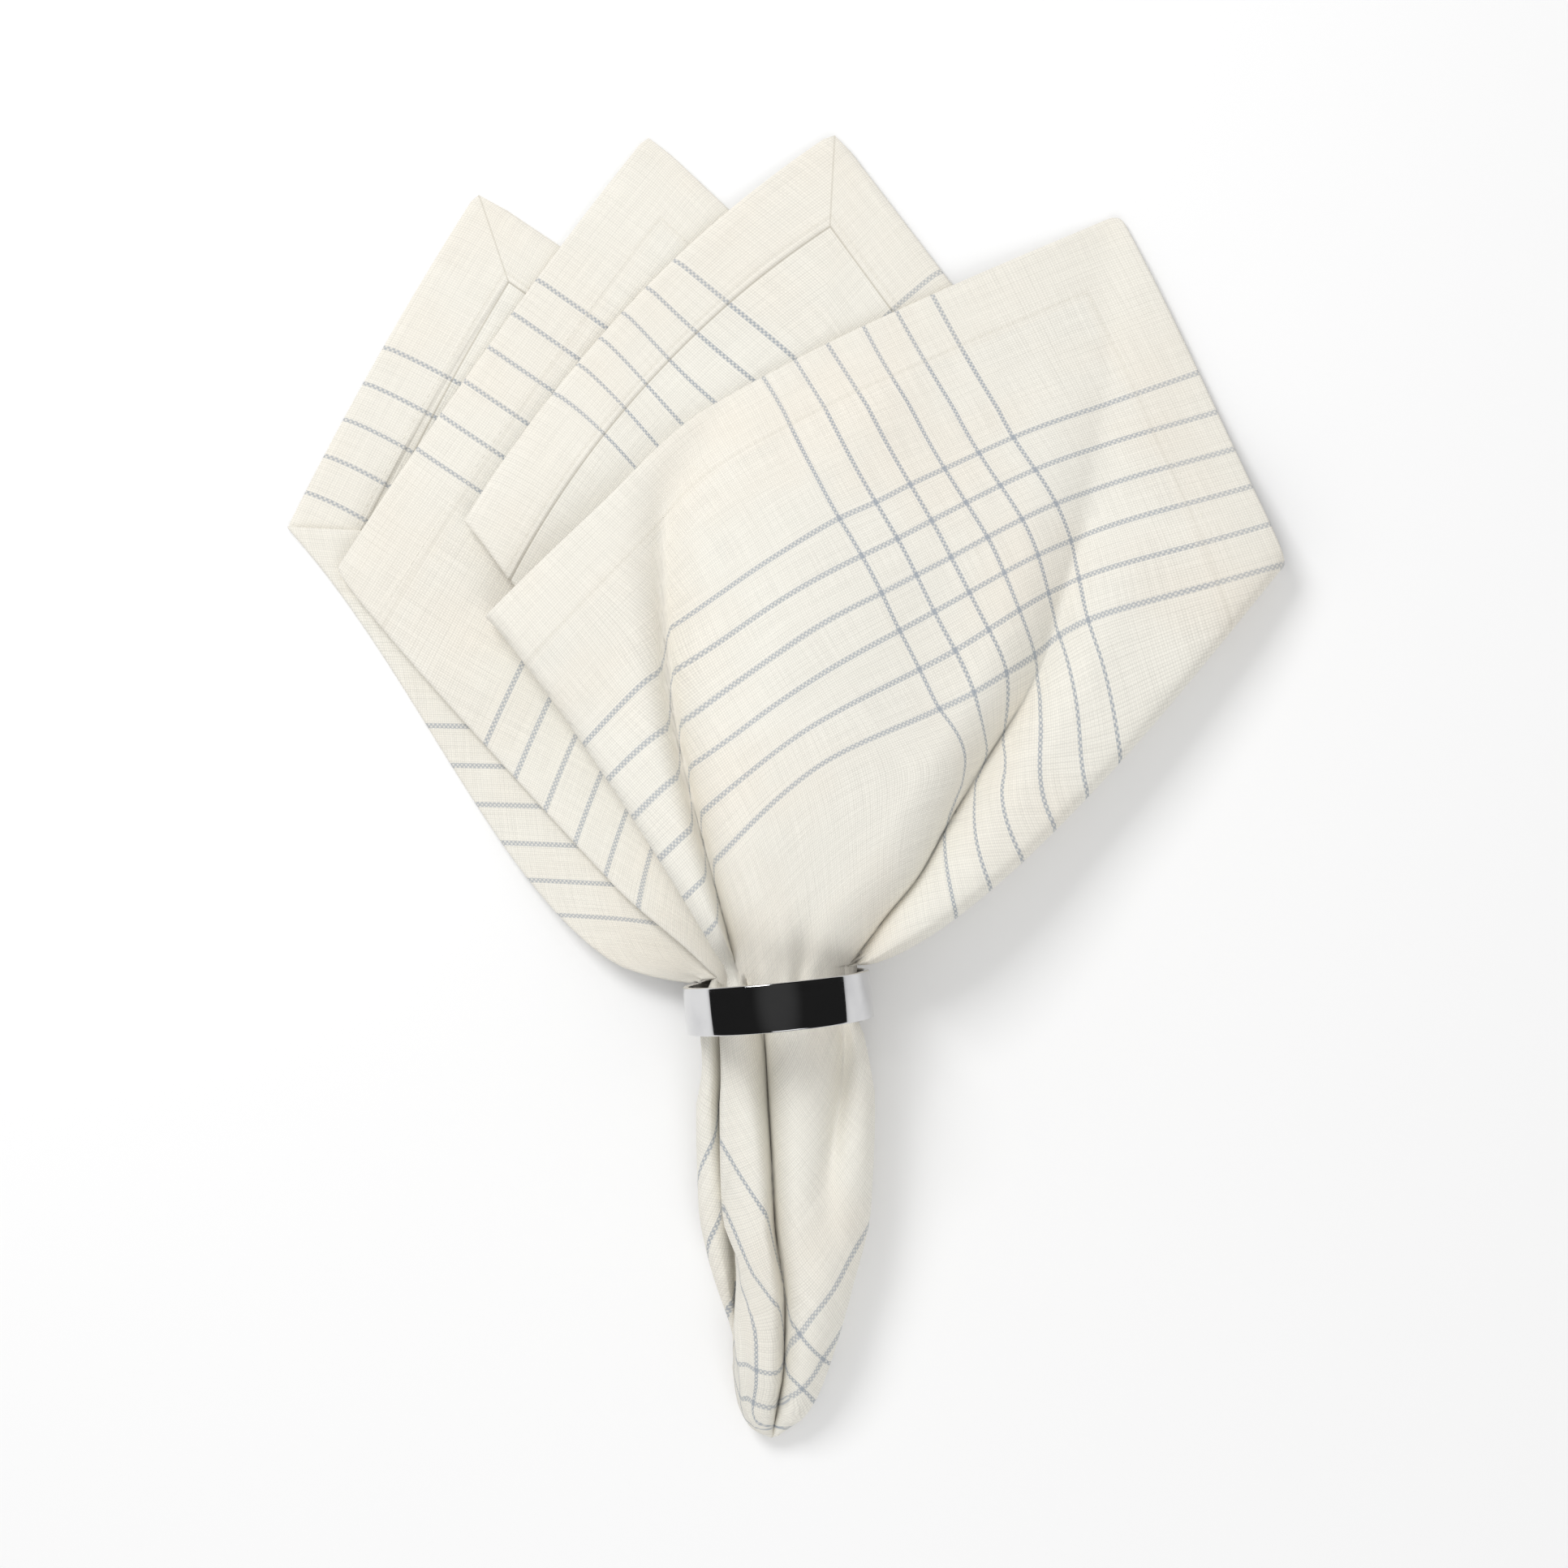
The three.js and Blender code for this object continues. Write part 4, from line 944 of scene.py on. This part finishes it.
@dataclass(frozen=True)
class StripeFinish:
    """Thin woven lines: a band along each edge and one through the middle, in millimetres."""

    half_side: float = 250.0
    edge_first: float = 50.5
    edge_pitch: float = 11.5
    middle_pitch: float = 11.0
    lines: int = 6
    softness: float = 0.18

    def group(self) -> bpy.types.NodeTree:
        """Node group that gives the lines' mask across one direction of the cloth.

        Returns:
            The group, with the place across the lines and their width in millimetres as inputs.
        """
        board, given, out = new_group("woven_lines", {"Place": "Float", "Width": "Float"}, {"Mask": "Float"})
        place = board.math("ABSOLUTE", given.outputs["Place"])
        half_width = board.math("MULTIPLY", given.outputs["Width"], 0.5)
        from_edge = board.math("SUBTRACT", self.half_side, place)
        bands = (
            (from_edge, self.edge_first, self.edge_pitch, self.lines),
            (place, self.middle_pitch / 2, self.middle_pitch, self.lines // 2),
        )
        masks = []
        for distance, first, pitch, lines in bands:
            shifted = board.math("SUBTRACT", distance, first - pitch / 2)
            folded = board.math("SUBTRACT", board.math("FLOORED_MODULO", shifted, pitch), pitch / 2)
            off = board.math("SUBTRACT", board.math("ABSOLUTE", folded), half_width)
            line = board.ramp(off, -self.softness, self.softness, 1.0, 0.0)
            begun = board.math("GREATER_THAN", shifted, 0.0)
            inside = board.math("MULTIPLY", begun, board.math("LESS_THAN", shifted, lines * pitch))
            masks.append(board.math("MULTIPLY", line, inside))
        board.put(out.inputs["Mask"], board.math("MAXIMUM", *masks))
        return board.tree


@dataclass(frozen=True)
class ClothFinish:
    """Cream cloth in plain weave with thin blue-grey lines and a turned, stitched hem, with painted shade on
    its weave and hem.

    A ramp holds the low and high end of what it reads, and what it gives there.
    """

    name: str = "cream_cloth"
    side: float = 500.0
    hem: float = 18.75
    stitch_in: float = 2.0
    cream: Colour = (0.83, 0.807, 0.735, 1.0)
    warm: Colour = (0.83, 0.765, 0.665, 1.0)
    line: Colour = (0.17, 0.225, 0.31, 1.0)
    # Painted shade colour for the hem's turned edge and stitch line; also the dark lines of the mitres.
    shade_and_joint_dark: Colour = (0.36, 0.32, 0.24, 1.0)
    line_width: tuple[float, float] = (1.2, 1.5)
    line_strength: tuple[float, float] = (0.66, 0.55)
    ladder: tuple[float, float] = (0.35, 1.0)
    patch_scale: Triple = (0.02, 0.02, 1.0)
    patches: Ramp = (0.4, 0.7, 0.0, 0.45)
    tint: Ramp = (0.25, 0.75, 0.955, 1.03)
    # Painted shade and highlight of the weave: colour scaled down where the weave's height is low and up on
    # the thread tops.
    weave_shade: Ramp = (0.15, 0.8, 0.86, 1.04)
    hem_edge: float = 0.2
    hem_warmth: float = 0.12
    # Painted shadow: a thin dark line where the hem's turned edge lies, on the wrong side.
    fold_shadow: Ramp = (0.1, 0.3, 0.5, 0.0)
    # Painted shade: a faint dark line in the groove of the stitch line, on both faces.
    seam: Ramp = (0.2, 0.8, 0.08, 0.0)
    mitre: Ramp = (0.15, 0.5, 0.28, 0.0)
    mitre_start: float = 0.3
    roughness: float = 0.92
    sheen: float = 0.12
    specular: float = 0.15
    weave_depth: float = 0.00012
    weave_strength: float = 0.6

    def material(self, weave: WeaveFinish, stripes: StripeFinish) -> bpy.types.Material:
        """Make the cloth's material.

        Args:
            weave: the cloth's weave.
            stripes: its woven lines.

        Returns:
            The material, which reads the cloth's flat places from its UV map.
        """
        material, board = new_material(self.name)
        uv = board.add("ShaderNodeUVMap", uv_map="flat").outputs["UV"]
        middle = -self.side / 2
        flat = board.stretched(uv, (self.side, self.side, 1.0), (middle, middle, 0.0))
        axes = board.axes(flat)[:2]
        threads = board.group(weave.group(), flat=flat).outputs
        colour = self.plain(board, flat, threads)
        colour = self.lined(board, axes, threads["Warp"], stripes.group(), colour)
        colour = self.hemmed(board, axes, colour)
        bump = board.add("ShaderNodeBump")
        relief = {"Strength": self.weave_strength, "Distance": self.weave_depth, "Height": threads["Height"]}
        board.fill(bump, relief)
        board.surface({
            "Base Color": colour,
            "Normal": bump.outputs["Normal"],
            "Roughness": self.roughness,
            "Sheen Weight": self.sheen,
            "Specular IOR Level": self.specular,
        })
        return material

    def plain(self, board: NodeBoard, flat: Socket, threads: object) -> Socket:
        """Colour of the cloth with its warmer patches and its threads, darker where the weave lies low and
        lighter on its raised threads: painted shade in the weave's gaps and painted highlight on the thread
        tops.
        """
        patches = board.noise(board.stretched(flat, self.patch_scale), 1.0, 3.0)
        colour = board.blend(board.ramp(patches, *self.patches), self.cream, self.warm)
        # The weave's height darkens its gaps as painted shade and lightens the thread tops as painted
        # highlight.
        for name, ramp in (("Tint", self.tint), ("Height", self.weave_shade)):
            colour = board.blend(1.0, colour, board.ramp(threads[name], *ramp), "MULTIPLY")
        return colour

    def lined(
        self, board: NodeBoard, axes: list[Socket], warp: Socket, lines: bpy.types.NodeTree, colour: Socket
    ) -> Socket:
        """Colour with the woven lines of both directions over it."""
        ladders = [board.ramp(warp, 0.0, 1.0, *ends) for ends in (self.ladder, self.ladder[::-1])]
        for axis, width, strength, ladder in zip(axes, self.line_width, self.line_strength, ladders):
            mask = board.group(lines, place=axis, width=width).outputs["Mask"]
            share = board.math("MULTIPLY", board.math("MULTIPLY", mask, ladder), strength)
            colour = board.blend(share, colour, self.line)
        return colour

    def hemmed(self, board: NodeBoard, axes: list[Socket], colour: Socket) -> Socket:
        """Colour with the hem's warmer tint, painted shade along its turned edge and its stitch line, and
        the mitres' dark lines over it.
        """
        wrong = board.add("ShaderNodeAttribute", attribute_name="wrong_side").outputs["Fac"]
        sides = [board.math("ABSOLUTE", axis) for axis in axes]
        edge, nearer = board.math("MAXIMUM", *sides), board.math("MINIMUM", *sides)
        inner = self.side / 2 - self.hem
        hem = board.ramp(edge, inner - self.hem_edge, inner + self.hem_edge, 0.0, self.hem_warmth)
        colour = board.blend(hem, colour, self.warm)
        # Painted shadow along the hem's turned edge, on the wrong side only.
        turned = board.math("ABSOLUTE", board.math("SUBTRACT", edge, inner - self.hem_edge))
        turned = board.math("MULTIPLY", board.ramp(turned, *self.fold_shadow), wrong)
        # Painted shade along the stitch line's groove, on both faces; the mitres' dark lines are blended
        # after it.
        seam = board.math("ABSOLUTE", board.math("SUBTRACT", edge, inner + self.stitch_in))
        mitre = board.ramp(board.math("SUBTRACT", edge, nearer), *self.mitre)
        mitre = board.math("MULTIPLY", mitre, board.ramp(edge, inner, inner + self.mitre_start, 0.0, 1.0))
        for share in (turned, board.ramp(seam, *self.seam), board.math("MULTIPLY", mitre, wrong)):
            colour = board.blend(share, colour, self.shade_and_joint_dark)
        return colour


@dataclass(frozen=True)
class ThreadFinish:
    """Cream sewing thread with a fine twist."""

    name: str = "sewing_thread"
    colour: Colour = (0.88, 0.85, 0.77, 1.0)
    dark: Colour = (0.82, 0.78, 0.68, 1.0)
    fibre_scale: float = 2600.0
    fibres: Ramp = (0.35, 0.7, 0.0, 1.0)
    roughness: float = 0.8

    def material(self) -> bpy.types.Material:
        """Make the thread's material."""
        material, board = new_material(self.name)
        fibres = board.ramp(board.noise(board.object_place(), self.fibre_scale), *self.fibres)
        colour = board.blend(fibres, self.colour, self.dark)
        board.surface({"Base Color": colour, "Roughness": self.roughness})
        return material


@dataclass(frozen=True)
class MetalFinish:
    """Polished steel with faint marks round the band."""

    name: str = "polished_steel"
    colour: Colour = (0.68, 0.68, 0.685, 1.0)
    worn: Colour = (0.60, 0.60, 0.61, 1.0)
    mark_scale: Triple = (60.0, 2400.0, 60.0)
    smear_scale: float = 90.0
    smears: Ramp = (0.4, 0.75, 0.0, 1.0)
    polish: Ramp = (0.15, 0.45, 0.035, 0.11)

    def material(self) -> bpy.types.Material:
        """Make the ring's material."""
        material, board = new_material(self.name)
        place = board.object_place()
        marks = board.noise(board.stretched(place, self.mark_scale), 1.0, 4.0)
        smears = board.noise(place, self.smear_scale, 3.0)
        colour = board.blend(board.ramp(smears, *self.smears), self.colour, self.worn)
        roughness = board.ramp(board.math("MULTIPLY", marks, smears), *self.polish)
        board.surface({"Base Color": colour, "Roughness": roughness, "Metallic": 1.0})
        return material


def mesh_piece(name: str, vertices: Array, faces: list[tuple[int, ...]]) -> bpy.types.Object:
    """Make a mesh object at the origin, with its place in its mesh.

    Args:
        name: the piece's name.
        vertices: places in metres.
        faces: corners of each face.

    Returns:
        The new object, smoothly shaded.
    """
    mesh = bpy.data.meshes.new(name)
    mesh.from_pydata(vertices.tolist(), [], faces)
    mesh.polygons.foreach_set("use_smooth", [True] * len(mesh.polygons))
    mesh.update()
    piece = bpy.data.objects.new(name, mesh)
    bpy.context.scene.collection.objects.link(piece)
    return piece


@dataclass
class Napkin:
    """The cloth: one closed thin sheet on the folds, its hem and the stitches along it."""

    shape: FoldedShape = field(default_factory=FoldedShape)
    tip: tuple[float, float] = (-5.0, -181.24)
    thickness: float = 0.5
    hem_extra: float = 0.35
    tail_first: tuple[float, ...] = (0.4, 1.2, 2.2, 3.5, 5.0, 7.0, 9.5, 12.5)
    tail_span: tuple[float, float] = (16.0, 126.5)
    tail_rows: int = 29
    fan_rows: int = 42
    fan_spacing: float = 1.15
    stitch_in: float = 2.0
    stitch_pitch: float = 2.7
    stitch_length: float = 1.9
    stitch_size: float = 0.11
    stitch_sink: float = 0.04
    stitch_start: float = 0.25
    stitch_flatness: float = 1.6
    stitch_rings: tuple[tuple[float, float], ...] = ((0.0, 0.0), (0.3, 1.0), (0.7, 1.0), (1.0, 0.0))
    edge_left: float = 0.35
    uneven_above: tuple[float, float] = (1.0, 8.0)
    hem_lead: float = 0.004
    waves: tuple[tuple[float, float, float, float], ...] = (
        (0.35, 0.021, 0.043, 0.4),
        (0.30, -0.052, 0.031, 1.9),
        (0.18, 0.094, 0.075, 3.1),
        (0.14, -0.087, 0.128, 5.0),
    )

    def stations(self) -> list[Station]:
        """Rows of the sheet from the tip to the hem's edge."""
        tail = np.concatenate([self.tail_first, np.linspace(*self.tail_span, self.tail_rows)])
        hem = self.shape.hem_station
        share = np.append(np.linspace(0.0, 1.0, self.fan_rows)[:-1], [1.0 - self.hem_lead, 1.0])
        fan = np.concatenate([hem * share**self.fan_spacing, mix(hem, 1.0, np.array(self.hem_shares()))])
        return [Station(tail=float(y)) for y in tail] + [Station(fan=float(u)) for u in fan]

    def hem_shares(self) -> tuple[float, ...]:
        """Rows across the hem: its folded edge, the stitches and the rounded outer edge."""
        return (0.015, 0.045, self.stitch_in / self.shape.hem, 0.35, 0.6, 0.85, 0.97, 1.0)

    def uneven(self, points: Array) -> Array:
        """Slight unevenness of hand-laid cloth, the same for all layers over one place."""
        x, y, z = points.T
        wave = sum(size * np.sin(kx * x + ky * y + phase) for size, kx, ky, phase in self.waves)
        return points + np.column_stack([0 * x, 0 * y, wave * smoothstep(*self.uneven_above, z)])

    def tip_point(self, points: Array) -> Array:
        """Middle of the cloth at the tip, where all columns of the sheet meet."""
        return np.array([TAIL[0].middle, 0.0, points[0, :, 2].mean()])

    def surface(self) -> tuple[Array, Array, Array]:
        """The sheet's middle surface.

        Returns:
            Points and normals as rows by columns, and their places on the flat cloth.
        """
        rows, flats = zip(*(self.shape.section(station) for station in self.stations()))
        points = np.array([self.uneven(row) for row in rows])
        below = np.concatenate([np.broadcast_to(self.tip_point(points), points[:1].shape), points[:-1]])
        above = np.concatenate([points[1:], points[-1:]])
        around = np.roll(points, -1, axis=1) - np.roll(points, 1, axis=1)
        normals = np.cross(above - below, around)
        normals /= np.maximum(np.linalg.norm(normals, axis=2, keepdims=True), 1e-9)
        return points, normals, np.array(flats)

    def offsets(self) -> dict[Side, Array]:
        """Distance of each face of the cloth from its middle surface, row by row."""
        stations = self.stations()
        hem = np.array([station.fan or 0.0 for station in stations]) > self.shape.hem_station
        edge = np.ones(len(stations))
        edge[-1] = self.edge_left
        half = self.thickness / 2
        return {Side.RIGHT: half * edge, Side.WRONG: (half + self.hem_extra * hem) * edge}

    def to_frame(self, points: Array) -> Array:
        """Places from the tip, in millimetres, as places in the part's frame, in metres."""
        return (points + np.array([*self.tip, 0.0])) * MM

    def build_sheet(self, points: Array, normals: Array, flats: Array) -> bpy.types.Object:
        """Build the closed sheet with its flat places as a UV map.

        Args:
            points, normals, flats: the sheet's middle surface.

        Returns:
            The napkin's object.
        """
        offsets = self.offsets()
        faces_of = {side: points + side.value * offsets[side][:, None, None] * normals for side in Side}
        rows, count = points.shape[:2]
        tip, half = self.tip_point(points), np.array([0.0, self.thickness / 2, 0.0])
        skins = [faces_of[side].reshape(-1, 3) for side in Side]
        vertices = np.vstack([*skins, tip - half, tip + half])
        wrong = rows * count
        faces: list[tuple[int, ...]] = []
        edge = (rows - 1) * count
        for column in range(count):
            onward = (column + 1) % count
            faces.append((2 * wrong, column, onward))
            faces.append((2 * wrong + 1, wrong + onward, wrong + column))
            for row in range(rows - 1):
                a, b = row * count + column, row * count + onward
                faces.append((a, a + count, b + count, b))
                faces.append((wrong + a, wrong + b, wrong + b + count, wrong + a + count))
            faces.append((edge + column, wrong + edge + column, wrong + edge + onward, edge + onward))
        piece = mesh_piece("napkin_cloth", self.to_frame(vertices), faces)
        flat = np.vstack([flats.reshape(-1, 2), flats.reshape(-1, 2), np.zeros((2, 2))])
        self.add_flat_places(piece.data, flat)
        wrong_side = piece.data.attributes.new("wrong_side", "FLOAT", "POINT")
        wrong_side.data.foreach_set("value", np.repeat([0.0, 1.0, 0.0, 1.0], [wrong, wrong, 1, 1]))
        return piece

    def add_flat_places(self, mesh: bpy.types.Mesh, flat: Array) -> None:
        """Store the places on the flat cloth as a UV map, 0 to 1 over the whole square."""
        layer = mesh.uv_layers.new(name="flat")
        corners = np.zeros(len(mesh.loops), dtype=np.int32)
        mesh.loops.foreach_get("vertex_index", corners)
        layer.data.foreach_set("uv", (flat[corners] / self.shape.side + 0.5).astype(np.float32).ravel())

    def build_stitches(self, points: Array, normals: Array, flats: Array) -> bpy.types.Object:
        """Build the stitches along the hem, on both faces of the cloth, as one mesh.

        Args:
            points, normals, flats: the sheet's middle surface.

        Returns:
            The stitches' object.
        """
        offsets = self.offsets()
        shares = [station.fan for station in self.stations()]
        stitched = self.stitch_in / self.shape.hem
        row = shares.index(float(mix(self.shape.hem_station, 1.0, stitched)))
        closed = np.append(np.arange(points.shape[1]), 0)
        flat = flats[row][closed]
        along = np.concatenate([[0.0], np.cumsum(np.hypot(*np.diff(flat, axis=0).T))])
        count = int(along[-1] / self.stitch_pitch)
        starts = (np.arange(count) + self.stitch_start) * along[-1] / count
        vertices: list[Array] = []
        faces: list[tuple[int, ...]] = []
        for side in Side:
            reach = side.value * (offsets[side][row] - self.stitch_sink)
            skin = (points[row] + reach * normals[row])[closed]
            normal = side.value * normals[row][closed]
            for start in starts:
                ends = np.array([start, start + self.stitch_length])
                span = np.column_stack([np.interp(ends, along, skin[:, axis]) for axis in range(3)])
                up = np.array([np.interp(ends.mean(), along, normal[:, axis]) for axis in range(3)])
                self.add_stitch(vertices, faces, span, up)
        return mesh_piece("hem_stitches", self.to_frame(np.array(vertices)), faces)

    def add_stitch(self, vertices: list, faces: list, span: Array, up: Array) -> None:
        """Add one stitch, a small four-sided grain of thread, to a growing mesh."""
        run = span[1] - span[0]
        beside = np.cross(run, up)
        beside /= np.linalg.norm(beside)
        base = len(vertices)
        for share, full in self.stitch_rings:
            middle = span[0] + run * share
            size = self.stitch_size * full
            if full == 0.0:
                vertices.append(middle)
                continue
            for turn in range(4):
                angle = math.pi / 4 + turn * math.pi / 2
                across = self.stitch_flatness * math.cos(angle) * beside
                vertices.append(middle + size * (across + math.sin(angle) * up))
        for turn in range(4):
            onward = (turn + 1) % 4
            first, second = base + 1 + turn, base + 1 + onward
            faces.append((base, second, first))
            faces.append((first, second, second + 4, first + 4))
            faces.append((first + 4, second + 4, base + 9))

    def dress(self) -> list[bpy.types.Object]:
        """Build the cloth and its stitches and put them in the frame.

        Returns:
            The pieces made.
        """
        cloth = self.surface()
        sheet, stitches = self.build_sheet(*cloth), self.build_stitches(*cloth)
        sheet.data.materials.append(ClothFinish().material(WeaveFinish(), StripeFinish()))
        stitches.data.materials.append(ThreadFinish().material())
        for piece in (sheet, stitches):
            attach(piece, BODY)
        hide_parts("napkin")
        return [sheet, stitches]


@dataclass
class NapkinRing:
    """The ring: a flat polished band with softened edges that stands round the cloth."""

    radius: float = 0.0255
    wall: float = 0.0015
    width: float = 0.013
    edge: float = 0.00045
    turn: float = math.radians(5.5)
    facets: int = 192
    edge_steps: int = 4
    smooth_angle: float = math.radians(40)

    def build(self) -> bpy.types.Object:
        """Model the band: an open tube at its place, given its wall and its softened edges.

        Returns:
            The ring's object.
        """
        low, high = (np.array(corner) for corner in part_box("napkin_ring"))
        middle = (low + high) / 2
        bpy.ops.object.select_all(action="DESELECT")
        bpy.ops.mesh.primitive_cylinder_add(
            vertices=self.facets,
            radius=self.radius,
            depth=self.width,
            end_fill_type="NOTHING",
            location=middle.tolist(),
            rotation=(math.pi / 2, 0.0, self.turn),
        )
        ring = bpy.context.object
        ring.name = ring.data.name = "polished_band"
        bpy.ops.object.transform_apply(location=True, rotation=True, scale=True)
        bpy.ops.object.mode_set(mode="EDIT")
        bpy.ops.mesh.select_all(action="SELECT")
        bpy.ops.mesh.normals_make_consistent(inside=False)
        bpy.ops.object.mode_set(mode="OBJECT")
        wall = ring.modifiers.new("wall", "SOLIDIFY")
        wall.thickness = self.wall
        wall.offset = -1.0
        wall.use_even_offset = True
        soft = ring.modifiers.new("soft_edges", "BEVEL")
        soft.width = self.edge
        soft.segments = self.edge_steps
        soft.limit_method = "ANGLE"
        soft.angle_limit = self.smooth_angle
        for name in ("wall", "soft_edges"):
            bpy.ops.object.modifier_apply(modifier=name)
        bpy.ops.object.shade_smooth_by_angle(angle=self.smooth_angle)
        return ring

    def dress(self) -> list[bpy.types.Object]:
        """Build the ring and put it in the frame."""
        ring = self.build()
        ring.data.materials.append(MetalFinish().material())
        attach(ring, BODY)
        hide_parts("napkin_ring")
        return [ring]


@dataclass(frozen=True)
class Lamp:
    """A soft lamp that points at the part: its place, size and power."""

    name: str
    place: Triple
    size: float
    power: float


@dataclass
class Studio:
    """Plain pale floor, soft light and a camera straight above the napkin."""

    picture_pixels: int = 1932
    pixels_per_mm: float = 4.42
    distance: float = 0.95
    sensor: float = 36.0
    floor_size: float = 6.0
    floor_gap: float = 0.0002
    floor_colour: Colour = (0.93, 0.93, 0.93, 1.0)
    world_colour: Colour = (1.0, 1.0, 1.0, 1.0)
    world_strength: float = 0.62
    dark_strength: tuple[float, float] = (0.02, 0.065)
    overhead: tuple[float, float] = (0.84, 1.0)
    lamps: tuple[Lamp, ...] = (
        Lamp("key", (-0.45, 0.6, 0.85), 0.45, 6.2),
        Lamp("fill", (0.25, -0.75, 0.85), 0.7, 2.2),
    )

    def camera(self) -> None:
        """Hang the camera over the middle of the part, its top towards the corners."""
        data = bpy.data.cameras.new("camera")
        data.sensor_width = self.sensor
        width = self.picture_pixels / self.pixels_per_mm * MM
        data.lens = self.sensor * self.distance / width
        eye = bpy.data.objects.new("camera", data)
        eye.location = (0.0, 0.0, self.distance)
        bpy.context.scene.collection.objects.link(eye)
        bpy.context.scene.camera = eye

    def floor(self) -> None:
        """Lay the pale floor just under the part."""
        bpy.ops.object.select_all(action="DESELECT")
        bpy.ops.mesh.primitive_plane_add(size=self.floor_size, location=(0.0, 0.0, -self.floor_gap))
        floor = bpy.context.object
        floor.name = "floor"
        material, board = new_material("pale_floor")
        board.surface({"Base Color": self.floor_colour, "Roughness": 1.0, "Specular IOR Level": 0.0})
        floor.data.materials.append(material)

    def world(self) -> None:
        """White surroundings for soft light; polished faces mirror them dark, but for a glow overhead."""
        world = bpy.data.worlds.new("studio")
        bpy.context.scene.world = world
        world.use_nodes = True
        board = NodeBoard(world.node_tree)
        bright, dark = (board.add("ShaderNodeBackground") for _ in range(2))
        board.fill(bright, {"Strength": self.world_strength, "Color": self.world_colour})
        up = board.axes(board.add("ShaderNodeTexCoord").outputs["Generated"])[2]
        board.fill(dark, {"Strength": board.ramp(up, *self.overhead, *self.dark_strength)})
        mirrored = board.add("ShaderNodeLightPath").outputs["Is Glossy Ray"]
        choice = board.add("ShaderNodeMixShader")
        board.fill(choice, {0: mirrored, 1: bright.outputs[0], 2: dark.outputs[0]})
        board.fill(board.add("ShaderNodeOutputWorld"), {"Surface": choice.outputs[0]})

    def hang(self, lamp: Lamp) -> None:
        """Hang a lamp so that it points at the part."""
        data = bpy.data.lights.new(lamp.name, "AREA")
        data.size = lamp.size
        data.energy = lamp.power
        light = bpy.data.objects.new(lamp.name, data)
        light.location = lamp.place
        away = np.array(lamp.place) / np.linalg.norm(lamp.place)
        light.rotation_euler = (math.acos(away[2]), 0.0, math.atan2(away[1], away[0]) + math.pi / 2)
        bpy.context.scene.collection.objects.link(light)

    def set_up(self) -> None:
        """Put camera, floor and light in place."""
        self.camera()
        self.floor()
        self.world()
        for lamp in self.lamps:
            self.hang(lamp)
        bpy.context.scene.view_settings.view_transform = "Standard"


def main() -> None:
    """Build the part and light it."""
    logging.basicConfig(level=logging.INFO, format="%(message)s")
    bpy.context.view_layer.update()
    Studio().set_up()
    for maker in (Napkin(), NapkinRing()):
        for piece in maker.dress():
            log.info("%s: %d faces", piece.name, len(piece.data.polygons))


if __name__ == "__main__":
    main()
